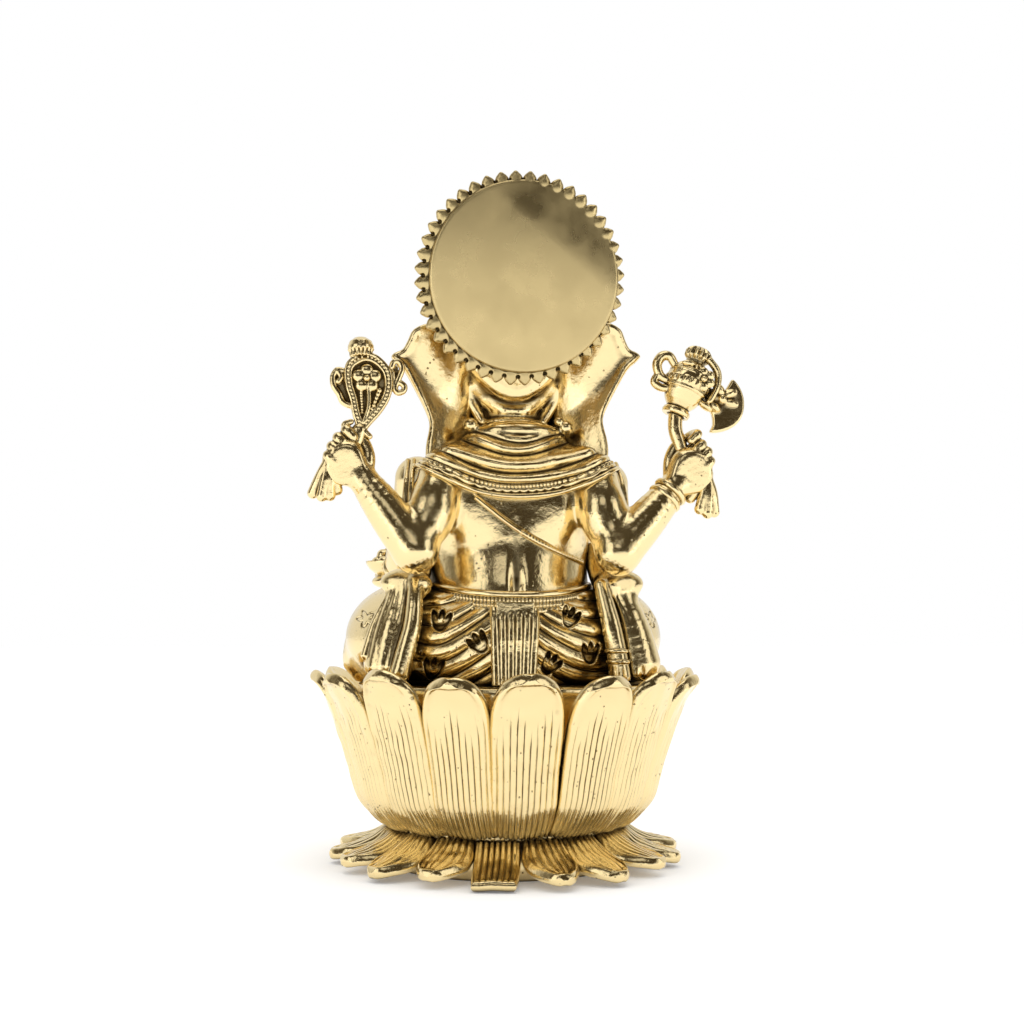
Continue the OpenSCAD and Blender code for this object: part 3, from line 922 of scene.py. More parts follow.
def shawl(brass):
    base = union(
        ball((0, 6, 92.6), (25.4, 15.4, 12.2)),
        ball((0, 4.5, 84), (19.6, 16.6, 26)),
        limb((-0.6, 4, 96), (-1.4, 4, 102.5), 15.2, 10.6),
        ball((17.6, 16.4, 92.4), 6.9),
        ball((-18.8, 16.4, 92.4), 6.9),
        k=4,
    )
    drape = raised(base, shawl_height)
    lower = Solid(lambda p: (hem_height(p[:, 0] + 0.6) - p[:, 2]) * 0.8, [-200] * 3, [200] * 3)
    front = half_space((0, -6, 92), (0, -0.94, -0.34))
    slope_of = Solid(lambda p: (p[:, 2] - 105.2 + 0.55 * np.maximum(np.abs(p[:, 0] + 1.4) - 10.5, 0)) * 0.85,
                     [-200, -200, 84], [200, 200, 106])
    drape = common(common(common(drape, lower, k=0.5), front, k=1.0), slope_of, k=2.4)
    collar = union(ball((-1.4, 10.5, 104.4), (10.6, 8.0, 3.4)),
                   chain([(-12.6, 11, 105.4, 1.1), (-8, 15.4, 103.2, 1.1), (-1.4, 18.0, 101.8, 1.2),
                          (5.4, 15.6, 103.2, 1.1), (10.2, 11.5, 105.4, 1.1)], 6),
                   ball((10.3, 13, 106.0), 1.8), ball((-13.1, 13, 105.8), 1.8), k=0.9)
    bead = ball((-11.4, 13.4, 107.2), 1.15)
    straps = []
    for side in (-1, 1):
        foot = 25.2 * side
        rows = [(side * 24.2, 14, 97), (side * 24.8, 18.6, 92), (foot, 20.8, 86), (side * 24.9, 21.6, 80)]
        straps.append(chain([(*r, 0.7) for r in rows], 5))
        straps.append(chain([(x + side * 1.3, y - 0.4, z, 0.6) for x, y, z in rows], 5))
    solid = union(drape, collar, bead, *straps, k=0.35)
    return make("Shoulder shawl", sculpted(solid, CLOTH), brass, "cast_brass",
                "shoulder_shawl")


# ---- Head

HEAD_Z = HEAD_TOP_Z - 12.5
# The trunk from brow to tip: X, Y, Z and radius.
TRUNK_LINE = [(0, -12, 117, 7.6), (0, -17.6, 112, 6.9), (0, -20.6, 106.5, 6.2), (0.3, -23, 100.5, 5.5),
              (1, -25.4, 94.5, 4.9), (2.6, -28, 89.2, 4.3), (5.4, -29.8, 84.9, 3.8), (9.2, -30.6, 82.8, 3.3),
              (12.6, -30.8, 84.2, 2.9), (14.2, -30.6, 87.0, 2.6)]


def trunk_shape():
    return chain(TRUNK_LINE, 5, k=0.6)


def along_trunk(p):
    """Rings across the trunk, from how far down it a point lies."""
    line = path(TRUNK_LINE, 5)[:, :3]
    run = np.concatenate([[0], np.cumsum(length(np.diff(line, axis=0)))])
    best = np.full(len(p), 1e9)
    where = np.zeros(len(p))
    for a, b, s, e in zip(line[:-1], line[1:], run[:-1], run[1:]):
        d = b - a
        t = np.clip((p - a) @ d / (d @ d), 0, 1)
        off = ((p - a - t[:, None] * d) ** 2).sum(1)
        near = off < best
        best = np.where(near, off, best)
        where = np.where(near, s + t * (e - s), where)
    front = step_up(-0.5, 2.0, -(p[:, 1] + 18) + (112 - p[:, 2]) * 0.2)
    return (0.22 * np.cos(where * 2 * math.pi / 2.1) * front).astype(F)


def head_solid():
    skull = union(
        ball((-0.8, 1, HEAD_Z + 3), (13.8, 15.6, 13.5)),
        ball((5.4, -7, HEAD_Z + 6.5), (7.4, 7.4, 7.6)),
        ball((-5.4, -7, HEAD_Z + 6.5), (7.4, 7.4, 7.6)),
        ball((8.6, -7.5, HEAD_Z - 5.5), (6.2, 6.6, 7.2)),
        ball((-8.6, -7.5, HEAD_Z - 5.5), (6.2, 6.6, 7.2)),
        limb((-0.8, 3, 100), (-0.8, 3, 109), 8.6, 7.4),
        k=3,
    )
    features = []
    for side in (-1, 1):
        brow = [(side * 3.6, -14.8, HEAD_Z + 1.2, 0.5), (side * 7.0, -14.2, HEAD_Z + 2.8, 0.8),
                (side * 11, -10.8, HEAD_Z + 0.4, 0.5)]
        features.append(chain(brow, 4))
        lid = [(side * 4.6, -15.0, HEAD_Z - 1.0, 0.35), (side * 7.2, -14.0, HEAD_Z + 0.2, 0.5),
               (side * 9.8, -12.2, HEAD_Z - 1.2, 0.35)]
        features.append(chain(lid, 4))
        features.append(ball((side * 7.2, -13.0, HEAD_Z - 1.2), (2.2, 1.5, 1.1)))
    swags = []
    for w, top, low in ((9.6, 116.4, 110.4), (9.4, 120.4, 114.2)):
        rows = []
        for u in np.linspace(-1, 1, 9):
            x, z = u * w - 0.8, low + (top - low) * u * u
            rows.append((x, back_of(skull, x, z) - 0.5, z, 1.3))
        swags.append(chain(rows, 3))
    for side in (-1, 1):
        edge = [(side * x - 0.8, y, z, 1.2) for x, y, z in ((12.4, 6.8, 119), (10.8, 6.4, 113.5),
                                                            (7.8, 5.6, 108.4))]
        swags.append(chain(edge, 4))
    collar = [ball((7.6 * math.sin(a) - 0.8, 3 + 7.6 * math.cos(a), 107.8), 0.6) for a in np.arange(40)
              * math.pi / 20]
    return union(union(skull, *swags, k=1.8), *features, *collar, k=0.8)


def ear_sheet(p):
    """Y of the ear's middle surface: it flares back and is creased from its tip to its root."""
    x, z = np.abs(p[:, 0]), p[:, 2]
    dx, dz = 28.4 - 15.0, 122.4 - 109.6
    off = ((x - 15.0) * -dz + (z - 109.6) * dx) / math.hypot(dx, dz)
    crease = 0.34 * np.hypot(np.maximum(off, 0), 1.4) + 0.24 * np.hypot(np.maximum(-off, 0), 1.4)
    return 2.2 + 12.6 * (1 - np.exp(-np.maximum(x - 9, -3) / 8)) + crease


# The outline of an ear in X and Z.
EAR = [(6, 104), (8, 98), (15, 95.4), (20.6, 96.0), (21.3, 100.0), (20.4, 105.3), (21.0, 108.2),
       (23.2, 112.7), (26.4, 118.4), (28.6, 120.5), (29.7, 121.9), (28.9, 123.0), (27.0, 123.9),
       (25.8, 126.0), (24.4, 128.6), (20.4, 130.2), (15, 129.6), (6, 126)]


def ear_solid():
    rows = [(x, z) for x, z in path(EAR, 3)]

    def field(p):
        d = outline_distance(rows, np.abs(p[:, 0]), p[:, 2])
        outer = step_up(17, 23, np.abs(p[:, 0]))
        rim = 0.45 * np.exp(-(((d + 1.2) / 1.0) ** 2)) * outer
        w = (np.abs(p[:, 1] - ear_sheet(p)) - 1.15 - rim) * 0.85
        d = d + 0.7
        w = w + 0.7
        return np.hypot(np.maximum(d, 0), np.maximum(w, 0)) + np.minimum(np.maximum(d, w), 0) - 0.7

    return Solid(field, (5, 0, 94.5), (32.2, 24, 131.4))


def tusk(side, reach):
    return chain([(side * 7.6, -10, 113.6, 2.3), (side * 9.6, -15.5, 110.6, 2.1),
                  (side * 11.4, -12 - reach * 0.8, 108.4, 1.7), (side * 12, -12 - reach, 108.6, 1.0)], 4)


def crown(brass):
    """Three tiers and a knob, with leaf points round each tier."""
    low = HEAD_TOP_Z + 3
    profile = [(12.6, low - 0.6), (13.4, low + 1.4), (12.6, low + 3.4), (12.9, low + 4.6), (11.2, low + 8.4),
               (10.2, low + 8.8), (10.6, low + 10.0), (8.6, low + 13.6), (7.0, low + 14.0), (7.2, low + 15.0),
               (4.6, low + 17.6), (2.6, low + 18.2), (3.0, low + 19.4), (2.4, low + 20.8), (0.6, low + 21.4)]

    def leaves(q):
        a = np.arctan2(q[:, 1], q[:, 0])
        out = np.zeros(len(q), F)
        for count, base, tall in ((14, 1.4, 6.0), (12, 10.0, 4.6), (10, 15.0, 3.0)):
            w = np.abs(((a * count / (2 * math.pi)) % 1) - 0.5) * 2
            h = (q[:, 2] - base) / tall
            inside = (h > 0) & (h < 1)
            out += np.where(inside, 0.55 * step_up(0.75, 0.45, w + 0.55 * h), 0)
        beads = np.abs(np.cos(a * 26)) * (bump_row(q[:, 2] - 0.2, 0.8) + bump_row(q[:, 2] - 9.2, 0.6))
        return (out + 0.35 * beads).astype(F)

    solid = turned([(r, z - low) for r, z in profile], (0, 6, low), flutes=leaves)
    return make("Crown", sculpted(solid), brass, "cast_brass", "crown")


def crown_band(brass):
    def field(p):
        a = np.arctan2(p[:, 1] - 3, p[:, 0])
        r = np.hypot(p[:, 0], p[:, 1] - 3)
        h = p[:, 2] - HEAD_TOP_Z - 1.4
        band = np.maximum(np.abs(r - 12.8) - 1.6, np.abs(h) - 1.5)
        beads = 0.55 * np.abs(np.cos(a * 20)) * bump_row(h, 1.0)
        rims = 0.35 * (bump_row(h - 1.25, 0.5) + bump_row(h + 1.25, 0.5))
        jewel = ball((0, -11.4, HEAD_TOP_Z + 1.8), (2.0, 1.2, 2.6))(p)
        return np.minimum(band - beads - rims, jewel)

    solid = Solid(field, (-15.5, -14, HEAD_TOP_Z - 1), (15.5, 18.5, HEAD_TOP_Z + 4.6))
    return make("Crown band", sculpted(solid, DETAIL), brass, "cast_brass", "crown_band")


# ---- Halo


HALO_TEETH = 44
HALO_FACE = 22.5


def halo_place(p):
    """From the halo's own frame, with +Z out of its back face, to the figure's."""
    spin = np.array(Matrix.Rotation(math.radians(-90) - HALO_LEAN, 3, "X"))
    return p @ spin.T + HALO_AT


def halo(satin):
    """A shallow dome inside a ring of small petals, a little off centre as the casting is."""
    count, face = HALO_TEETH, HALO_FACE
    off = np.array([-0.9, -0.5, 0], F)

    def dome(p):
        q = p - off
        r = np.hypot(q[:, 0], q[:, 1])
        rise, rim_top, roll_off = 0.85, 0.55, 0.85
        top = rim_top + rise * (1 - (r / face) ** 2)
        top -= roll_off * step_up(10, 23, -(0.62 * q[:, 0] + 0.78 * q[:, 1]))
        flat = np.maximum(q[:, 2] - top, -1.0 - q[:, 2])
        return -smin(-flat, -(r - face), 0.9)

    def petals(p):
        r = np.hypot(p[:, 0], p[:, 1])
        a = np.arctan2(p[:, 1], p[:, 0])
        b = ((a * count / (2 * math.pi)) % 1 - 0.5) * 2 * math.pi / count
        x, y, z = r * np.cos(b), r * np.sin(b), p[:, 2]
        half = np.array([2.1, 1.72, 1.05], F)
        leaf = np.stack([x - 22.6, y, z + 1.0], 1) / half
        n = np.maximum(length(leaf), 1e-4)
        leaf_d = n * (n - 1) / np.maximum(length(leaf / half), 1e-4)
        rim = np.maximum(np.abs(r - 21.2) - 1.6, np.abs(z + 1.2) - 0.8)
        pit = np.sqrt((x - 22.9) ** 2 + (np.abs(y) - 1.6) ** 2 + ((z + 0.3) / 1.6) ** 2) - 0.5
        tip = np.sqrt((x - 24.3) ** 2 + (y / 0.75) ** 2 + (z + 0.9) ** 2) - 0.62
        return np.maximum(smin(smin(leaf_d, tip, 0.7), rim, 0.5), -pit)

    solid = Solid(lambda p: np.minimum(dome(p), petals(p)), (-25, -25, -2.4), (25, 25, 1.6))
    points, quads = sculpted(solid, 0.2)
    shell = outward(halo_place(points), quads)
    return make("Halo", shell, satin, "polished_brass", "halo_plate")


def halo_rivet(brass):
    start = halo_place(np.array([[0, 0, -3.5]]))[0]
    end = halo_place(np.array([[0, 0, -11.5]]))[0]
    solid = union(limb(start, end, 2.2, 2.6), ball(end, 3.2), k=1)
    return make("Halo rivet", sculpted(solid), brass, "cast_brass", "halo_rivet")


# ---- Hands and what they hold


def fist(side, palm, palm_half, lean, knuckles, thumb, wrist):
    """A closed hand seen from behind: a flat back, four knuckles and a thumb."""
    spin = turn(y=lean)
    parts = [ball(palm, palm_half, spin), limb(wrist, palm, 3.4, 3.2)]
    fingers = []
    inward = -side
    for x, y, z, r in knuckles:
        rows = [(x + inward * 1.5, y + 0.3, z - 1.6, r * 0.9), (x, y, z, r),
                (x + inward * 0.6, y - 3.2, z + 0.2, r * 0.95),
                (x + inward * 2.6, y - 5.0, z - 1.0, r * 0.85)]
        fingers.append(chain(rows, 4))
    flat = half_space((palm[0], palm[1] + 2.3, palm[2]), (side * 0.1, 1, -0.16))
    back = common(union(*parts, k=2.0), flat, k=0.7)
    return union(back, *fingers, chain(thumb, 5), k=0.5)


def left_hand_solid():
    knuckles = [(40.2, 21.6, 102.9, 1.35), (42.1, 21.8, 101.0, 1.35), (43.5, 21.9, 98.9, 1.3),
                (44.4, 22.0, 96.8, 1.2)]
    thumb = [(35.6, 20.6, 92.6, 1.7), (35.0, 20.8, 96.6, 1.6), (35.9, 20.0, 100.4, 1.25),
             (37.2, 19.4, 101.6, 1.0)]
    return fist(1, (40.4, 21.4, 95.4), (4.5, 3.8, 5.6), -22, knuckles, thumb, L_REAR[2])


def right_hand_solid():
    knuckles = [(-44.0, 21.4, 103.6, 1.2), (-44.9, 21.9, 101.0, 1.3), (-46.3, 22.0, 99.2, 1.3),
                (-47.0, 22.0, 97.0, 1.2)]
    thumb = [(-37.3, 19.8, 93.4, 1.5), (-37.5, 19.6, 97.4, 1.45), (-38.9, 19.4, 100.6, 1.3),
             (-41.2, 19.4, 102.6, 1.0)]
    return fist(-1, (-42.3, 21.4, 94.8), (5.2, 3.8, 5.8), 24, knuckles, thumb, R_REAR[2])


# Each cloth end: the ends of its folds, its knot, its name and its node.
TASSELS = [
    ([(47.4, 19.8, 88.2), (45.6, 21.2, 87.4), (44.0, 20.8, 87.6), (42.6, 20.2, 89.0)], (44.2, 21, 96.4),
     "Left tassel", "left_tassel"),
    ([(-42.8, 20, 88.2), (-44.6, 21, 85.4), (-46.2, 21.2, 84.4), (-47.8, 20.4, 84.8)], (-46.4, 21, 94),
     "Right tassel", "right_tassel"),
]


def tassel(foot, top, name, node, brass):
    """A knotted cloth end that opens into folds."""
    bars = [ball(top, 1.5)]
    mid = np.mean(np.array(foot), 0)
    for x, y, z in foot:
        half = [(a + b) / 2 for a, b in zip(top, (x, y, z))]
        bars.append(chain([(*top, 0.95), (half[0] + (half[0] - mid[0]) * 0.3, half[1] + 0.5, half[2], 1.2),
                           (x + (x - mid[0]) * 0.15, y, z, 1.35)], 5))
    solid = union(*bars, k=0.5)
    return make(name, sculpted(solid, DETAIL), brass, "cast_brass", node)


# Y of the middle of both emblems.
EMBLEM_Y = 20.0
# The outline of the noose in X and Z.
TEAR = [(37.0, 121.7), (39.9, 119.9), (40.8, 117.4), (40.4, 113.6), (39.2, 109.8), (38.4, 105.9),
        (36.9, 102.3), (34.6, 104.5), (32.3, 107.2), (30.4, 110.4), (29.6, 113.8), (30.0, 117.4),
        (31.8, 120.0), (34.2, 121.6)]


def closed_path(points, steps=5):
    rows = [*points[-2:], *points, *points[:2]]
    line = path(rows, steps)
    return line[2 * steps : -steps - 1]


def noose_frame(y):
    """The drop-shaped frame: its back, bars and lips, and its dots apart."""
    edge = closed_path(TEAR)
    inner = np.array([35.3, 113.4])
    shrink = inner + (edge - inner) * 0.85
    frame_bars = [limb((a[0], y, a[1]), (b[0], y, b[1]), 1.0, 1.0)
                  for a, b in zip(shrink, np.roll(shrink, -1, 0))]
    rim = inner + (edge - inner) * 0.93
    near = inner + (edge - inner) * 0.775
    lip = [limb((a[0], y + way * 0.75, a[1]), (b[0], y + way * 0.75, b[1]), 0.5, 0.5) for way in (-1, 1)
           for line in (rim, near) for a, b in zip(line, np.roll(line, -1, 0))]
    back = plate([tuple(q) for q in shrink[::3]], y, 0.7)
    run = np.concatenate([[0], np.cumsum(np.hypot(*np.diff(shrink, axis=0).T))])
    dots = []
    for s in np.arange(0, run[-1], 0.95):
        x, z = np.interp(s, run, shrink[:, 0]), np.interp(s, run, shrink[:, 1])
        for way in (-1, 1):
            dots.append(ball((x, y + way * 1.1, z), 0.26))
    return [back, union(*frame_bars), union(*lip)], dots


def noose_flower(y, way):
    """The flower, its stem and two rows of leaves on one face of the noose."""
    flower = []
    level = y + way * 0.95
    flower.append(ball((35.6, level + way * 0.6, 115.4), 0.8))
    for a in np.radians(90 + np.arange(5) * 72):
        flower.append(ball((35.6 + 2.0 * math.cos(a), level, 115.4 + 2.0 * math.sin(a)), (1.45, 0.75, 1.45)))
    flower.append(chain([(35.1, level, 112.8, 0.55), (35.1, level, 108.8, 0.5), (36.2, level, 105.0, 0.45)],
                        4))
    for top, foot, fat in (((36.9, 112.0), (36.6, 107.4), 0.38), ((32.6, 112.6), (34.9, 106.4), 0.55)):
        for t in np.linspace(0, 1, 8):
            flower.append(ball((top[0] + (foot[0] - top[0]) * t, level - way * 0.1,
                                top[1] + (foot[1] - top[1]) * t), fat * (1.1 - 0.5 * t)))
    return flower


def noose_scrolls(y):
    """The scrolls at both sides of the noose, with the webs that close them."""
    left = [(40.4, 117.0), (42.4, 117.4), (43.5, 115.9), (43.3, 113.6), (42.0, 111.6), (41.3, 110.0),
            (40.2, 109.2), (39.2, 108.9)]
    left_curl = [(42.6, 117.3), (41.6, 115.9), (42.2, 114.7)]
    right = [(29.8, 118.4), (29.3, 119.6), (28.1, 119.7), (27.3, 118.1), (28.2, 115.4), (28.9, 113.4),
             (28.3, 112.3), (27.0, 112.7), (26.7, 113.8), (27.5, 114.6)]
    right_curl = [(29.6, 117.0), (29.3, 114.2)]
    scrolls = [chain([(x, y, z, 0.72) for x, z in rows], 5) for rows in (left, left_curl, right, right_curl)]
    webs = [plate([(40.2, 116.6), (42.6, 116.8), (43.0, 114.0), (41.4, 110.6), (39.4, 109.6)], y - 0.3, 0.35),
            plate([(29.8, 118.2), (28.2, 119.2), (28.2, 116.0), (29.0, 113.4), (30.0, 113.4)], y - 0.3, 0.35)]
    return [*scrolls, *webs]


def noose(brass):
    """The noose: a beaded drop-shaped frame round a flower on its stem, with scrolls and a knob."""
    y = EMBLEM_Y
    frame_of, dots = noose_frame(y)
    flower = noose_flower(y, -1) + noose_flower(y, 1)
    knob = turned([(2.5, -0.6), (2.6, 0.6), (3.05, 1.2), (3.1, 1.9), (2.6, 3.1), (1.4, 3.95), (0.3, 4.2)],
                  (37.0, y, 121.3), (0.04, 0, 1),
                  flutes=lambda q: 0.2 * np.cos(np.arctan2(q[:, 1], q[:, 0]) * 16) * (q[:, 2] < 1.1)
                  * (q[:, 2] > -0.6))
    bow = [chain([(36.6, y, 103.2, 1.0), (38.6, y + 0.6, 102.4, 1.0), (40.6, y + 0.4, 104.2, 0.9),
                  (39.2, y + 0.8, 105.0, 0.7)], 4),
           chain([(36.6, y + 0.6, 103.4, 0.8), (34.8, y + 1.0, 101.6, 0.7)], 3),
           limb((37.2, y, 103), (39.0, y, 97), 1.9, 1.9)]
    solid = union(*frame_of, *flower, *noose_scrolls(y), knob, *bow, k=0.25)
    solid = union(solid, *dots)
    return make("Noose emblem", sculpted(solid, DETAIL), brass, "cast_brass", "noose_emblem")


def axe_head(brass):
    """The axe: a flowered cup on a shaft, with a knob, a scroll and a crescent blade."""
    y = EMBLEM_Y
    foot = np.array([-39.1, y, 109.0])
    way = np.array([-6.0, 0, 14.6])
    way /= np.linalg.norm(way)

    def bands(q):
        a = np.arctan2(q[:, 1], q[:, 0])
        h = q[:, 2]
        out = 0.2 * np.cos(a * 22) * bump_row(h - 11.6, 1.0)
        out += 0.22 * (bump_row(h - 5.6, 0.35) + bump_row(h - 9.9, 0.3) + bump_row(h - 10.5, 0.3))
        out += 0.28 * np.abs(np.cos(a * 11)) * bump_row(h - 7.4, 0.9)
        out += 0.3 * np.cos(a * 14) * bump_row(h - 15.4, 1.6)
        return out.astype(F)

    body = turned([(3.3, -0.7), (3.5, 0.0), (3.3, 0.7), (2.7, 1.1), (3.9, 2.6), (4.9, 4.6), (5.5, 6.4),
                   (5.6, 8.0), (5.0, 10.2), (3.6, 12.0), (2.5, 12.9), (2.4, 13.6), (3.1, 14.6), (3.1, 15.9),
                   (2.2, 17.0), (0.4, 17.3)], foot, way, flutes=bands)
    petals = []
    for a in np.radians(90 + np.arange(6) * 60):
        petals.append(ball((-44.9 + 1.8 * math.cos(a), y + 4.5, 116.5 + 1.8 * math.sin(a)),
                           (1.15, 0.8, 1.15)))
    petals.append(ball((-44.9, y + 5.0, 116.5), 0.8))
    for x, z, spin in ((-40.2, 117.6, 30), (-41.4, 120.4, -10), (-40.8, 114.9, 60)):
        petals.append(ball((x, y + 4.0, z), (1.7, 0.9, 0.7), turn(y=spin)))
    rope = path([(-46.9, y + 2.6, 121.6), (-48.6, y + 2.6, 119.3), (-49.1, y + 2.4, 116.9),
                 (-48.4, y + 2.4, 114.2), (-47.0, y + 2.2, 111.6)], 5)
    petals += [ball(q, (0.95, 0.95, 0.55), turn(y=20)) for q in rope]
    scroll = chain([(-37.6, y + 1, 116.6, 1.0), (-35.2, y + 1, 117.6, 1.1), (-34.3, y + 1, 120.4, 1.2),
                    (-35.5, y + 1, 122.5, 1.25), (-37.4, y + 1, 122.6, 1.15), (-38.6, y + 1, 120.8, 1.0)], 6)
    curl = chain([(-37.4, y + 1, 114.8, 0.9), (-35.2, y + 1, 114.9, 1.0), (-33.6, y + 1, 116.1, 1.0),
                  (-34.2, y + 1, 117.6, 0.9), (-35.6, y + 1, 117.6, 0.8)], 6)
    edge = [(-53.4, 117.4), (-55.0, 115.6), (-56.0, 113.0), (-56.0, 110.0), (-55.0, 107.4), (-53.0, 105.5),
            (-50.2, 104.4), (-47.5, 104.3), (-48.2, 106.2), (-48.0, 108.6), (-47.2, 110.4), (-48.6, 112.4),
            (-50.4, 113.6), (-51.6, 115.0), (-52.5, 116.4)]
    blade = plate([tuple(q) for q in closed_path(edge, 3)], y, 1.0, 0.6)
    bow = [ball((-49.8, y + 0.6, 114.6), (1.3, 1.5, 1.9), turn(y=30)),
           ball((-52.2, y + 0.6, 113.6), (1.9, 1.2, 0.95), turn(y=25)),
           ball((-52.4, y + 0.6, 111.5), (1.9, 1.2, 0.95), turn(y=-10)), ball((-50.4, y + 1.0, 112.4), 1.2),
           limb((-45, y, 114), (-50, y, 112.6), 2.4, 1.4),
           ball((-48.4, y + 1.0, 110.4), (1.7, 1.3, 1.0), turn(y=-40)),
           ball((-46.0, y + 1.8, 110.4), (2.0, 1.3, 0.95), turn(y=-35))]
    shaft = chain([(-39.1, y, 109.4, 1.8), (-38.9, y, 105, 1.75), (-40.0, y, 101.2, 1.7),
                   (-41.6, y, 96, 1.8)], 4)
    solid = union(body, *petals, scroll, curl, *bow, shaft, k=0.3)
    solid = union(solid, blade, k=0.5)
    return make("Axe", sculpted(solid, DETAIL), brass, "cast_brass", "axe")


def bracelets(brass):
    rings_of = []
    for s, places in ((R_REAR, (0.80, 0.90)), (L_FRONT, (0.86,)), (R_FRONT, (0.86,))):
        d = np.array(s[2]) - np.array(s[1])
        for t in places:
            rings_of.append(ring(between(s[1], s[2], t), d, 3.9, 0.55, squash=1.4))
    return make("Bracelets", sculpted(union(*rings_of), DETAIL), brass, "cast_brass", "bracelets")


def necklace(brass):
    rows = []
    for a in np.radians(np.linspace(-168, -12, 27)):
        x, y = 19.5 * math.cos(a), 2 + 18 * math.sin(a)
        z = 101.5 + 14.5 * math.sin(a)
        rows.append((x, y, z))
    settled_rows = []
    for x, y, z in rows:
        found = skin_y(TORSO, x, z, -32, 8, 321)
        settled_rows.append((x, found[0] - 0.3 if found else y, z))
    beads = [ball(r, 1.15) for r in settled_rows]
    cord_rows = chain([(*r, 0.6) for r in settled_rows], 2)
    x, y, z = settled_rows[13]
    pendant = ball((x, y - 0.4, z - 2.4), (1.9, 1.2, 2.5))
    return make("Necklace", sculpted(union(cord_rows, *beads, pendant, k=0.3), DETAIL), brass, "cast_brass",
                "necklace")


def bowl_and_sweets(brass):
    low, high = box_mm("sweets_bowl")
    at = ((low[0] + high[0]) / 2, (low[1] + high[1]) / 2, low[2])
    bowl = turned([(3.0, 0), (3.4, 0.4), (5.2, 1.8), (6.2, 3.3), (6.3, 4.0), (5.4, 4.1), (3.0, 1.6)], at)
    make("Sweets bowl", sculpted(bowl, DETAIL), brass, "cast_brass", "sweets_bowl")
    sweets = [ball((at[0] + 3.0 * math.cos(a), at[1] + 3.0 * math.sin(a), at[2] + 3.4), 1.9)
              for a in np.radians(np.arange(6) * 60)]
    sweets += [ball((at[0] + 1.7 * math.cos(a), at[1] + 1.7 * math.sin(a), at[2] + 5.6), 1.7)
               for a in np.radians(np.arange(3) * 120)]
    sweets.append(limb((at[0], at[1], at[2] + 6.4), (at[0], at[1], at[2] + 8.6), 1.6, 0.5))
    make("Sweets", sculpted(union(*sweets, k=0.5), DETAIL), brass, "cast_brass", "sweets")


def palm_up():
    """The left front hand, open under the bowl."""
    x, y, z = L_FRONT[3]
    fingers = [limb((x + (i - 1.5) * 1.7, y - 3.2, z + 0.4), (x + (i - 1.5) * 2.0, y - 6.2, z + 1.8), 0.95,
                    0.75) for i in range(4)]
    thumb = limb((x - 3.4, y + 0.5, z + 0.4), (x - 5.4, y - 2.2, z + 2.2), 1.1, 0.85)
    return union(ball((x, y - 0.6, z - 0.2), (4.6, 4.4, 2.0)), limb(L_FRONT[2], (x, y, z), 3.2, 2.4),
                 *fingers, thumb, k=0.8)


def palm_raised():
    """The right front hand, raised with its palm forward."""
    x, y, z = R_FRONT[3]
    tips = (10.2, 11.2, 10.8, 9.2)
    fingers = [limb((x + (i - 1.5) * 1.75, y, z + 2.4), (x + (i - 1.5) * 1.95, y - 0.6, z + t - 2.6), 1.0,
                    0.8) for i, t in enumerate(tips)]
    thumb = limb((x + 3.0, y - 0.4, z - 2.0), (x + 5.2, y - 1.6, z + 2.2), 1.15, 0.85)
    return union(ball((x, y, z), (3.9, 2.0, 4.6)), limb(R_FRONT[2], (x, y, z), 3.2, 2.2), *fingers, thumb,
                 k=0.8)


# ---- Materials


# Millimetres between pits, metres of reach of the painted crevice shade, and metres of grain depth.
PIT_SPACING = 1.5
PAINTED_SHADE_REACH = 0.0035
GRAIN_DEPTH = 0.0004


def new_material(name, rgb, rough, metal=1.0):
    mat = bpy.data.materials.new(name)
    mat.use_nodes = True
    shader = mat.node_tree.nodes["Principled BSDF"]
    shader.inputs["Base Color"].default_value = (*rgb, 1)
    shader.inputs["Metallic"].default_value = metal
    shader.inputs["Roughness"].default_value = rough
    return mat, shader


def ramp(nodes, links, source, stops):
    node = nodes.new("ShaderNodeValToRGB")
    elements = node.color_ramp.elements
    while len(elements) < len(stops):
        elements.new(0.5)
    for element, (place, value) in zip(elements, stops):
        element.position = place
        colour = value if isinstance(value, tuple) else (value, value, value)
        element.color = (*colour, 1)
    links.new(source, node.inputs["Fac"])
    return node.outputs["Color"]


def noise(nodes, links, coords, size_mm, detail=3.0, rough=0.55):
    node = nodes.new("ShaderNodeTexNoise")
    node.inputs["Scale"].default_value = 1000.0 / size_mm
    node.inputs["Detail"].default_value = detail
    node.inputs["Roughness"].default_value = rough
    links.new(coords, node.inputs["Vector"])
    return node.outputs["Fac"]


def arithmetic(nodes, links, kind, a, b):
    node = nodes.new("ShaderNodeMath")
    node.operation = kind
    node.use_clamp = kind in ("MULTIPLY", "ADD")
    node.inputs[2].default_value = 0.5
    for socket, value in zip(node.inputs, (a, b)):
        if isinstance(value, (int, float)):
            socket.default_value = value
        else:
            links.new(value, socket)
    return node.outputs["Value"]


def pits_of(nodes, links, coords, pitted):
    """Small casting pits in some places, from 0 to 1."""
    cells = nodes.new("ShaderNodeTexVoronoi")
    cells.inputs["Scale"].default_value = 1000 / PIT_SPACING
    links.new(coords, cells.inputs["Vector"])
    sparse = ramp(nodes, links, noise(nodes, links, coords, 6.0), [(0.50, 0.0), (0.62, 1.0)])
    hole = ramp(nodes, links, cells.outputs["Distance"], [(0.10, 1.0), (0.19, 0.0)])
    return arithmetic(nodes, links, "MULTIPLY", hole, arithmetic(nodes, links, "MULTIPLY", sparse, pitted))


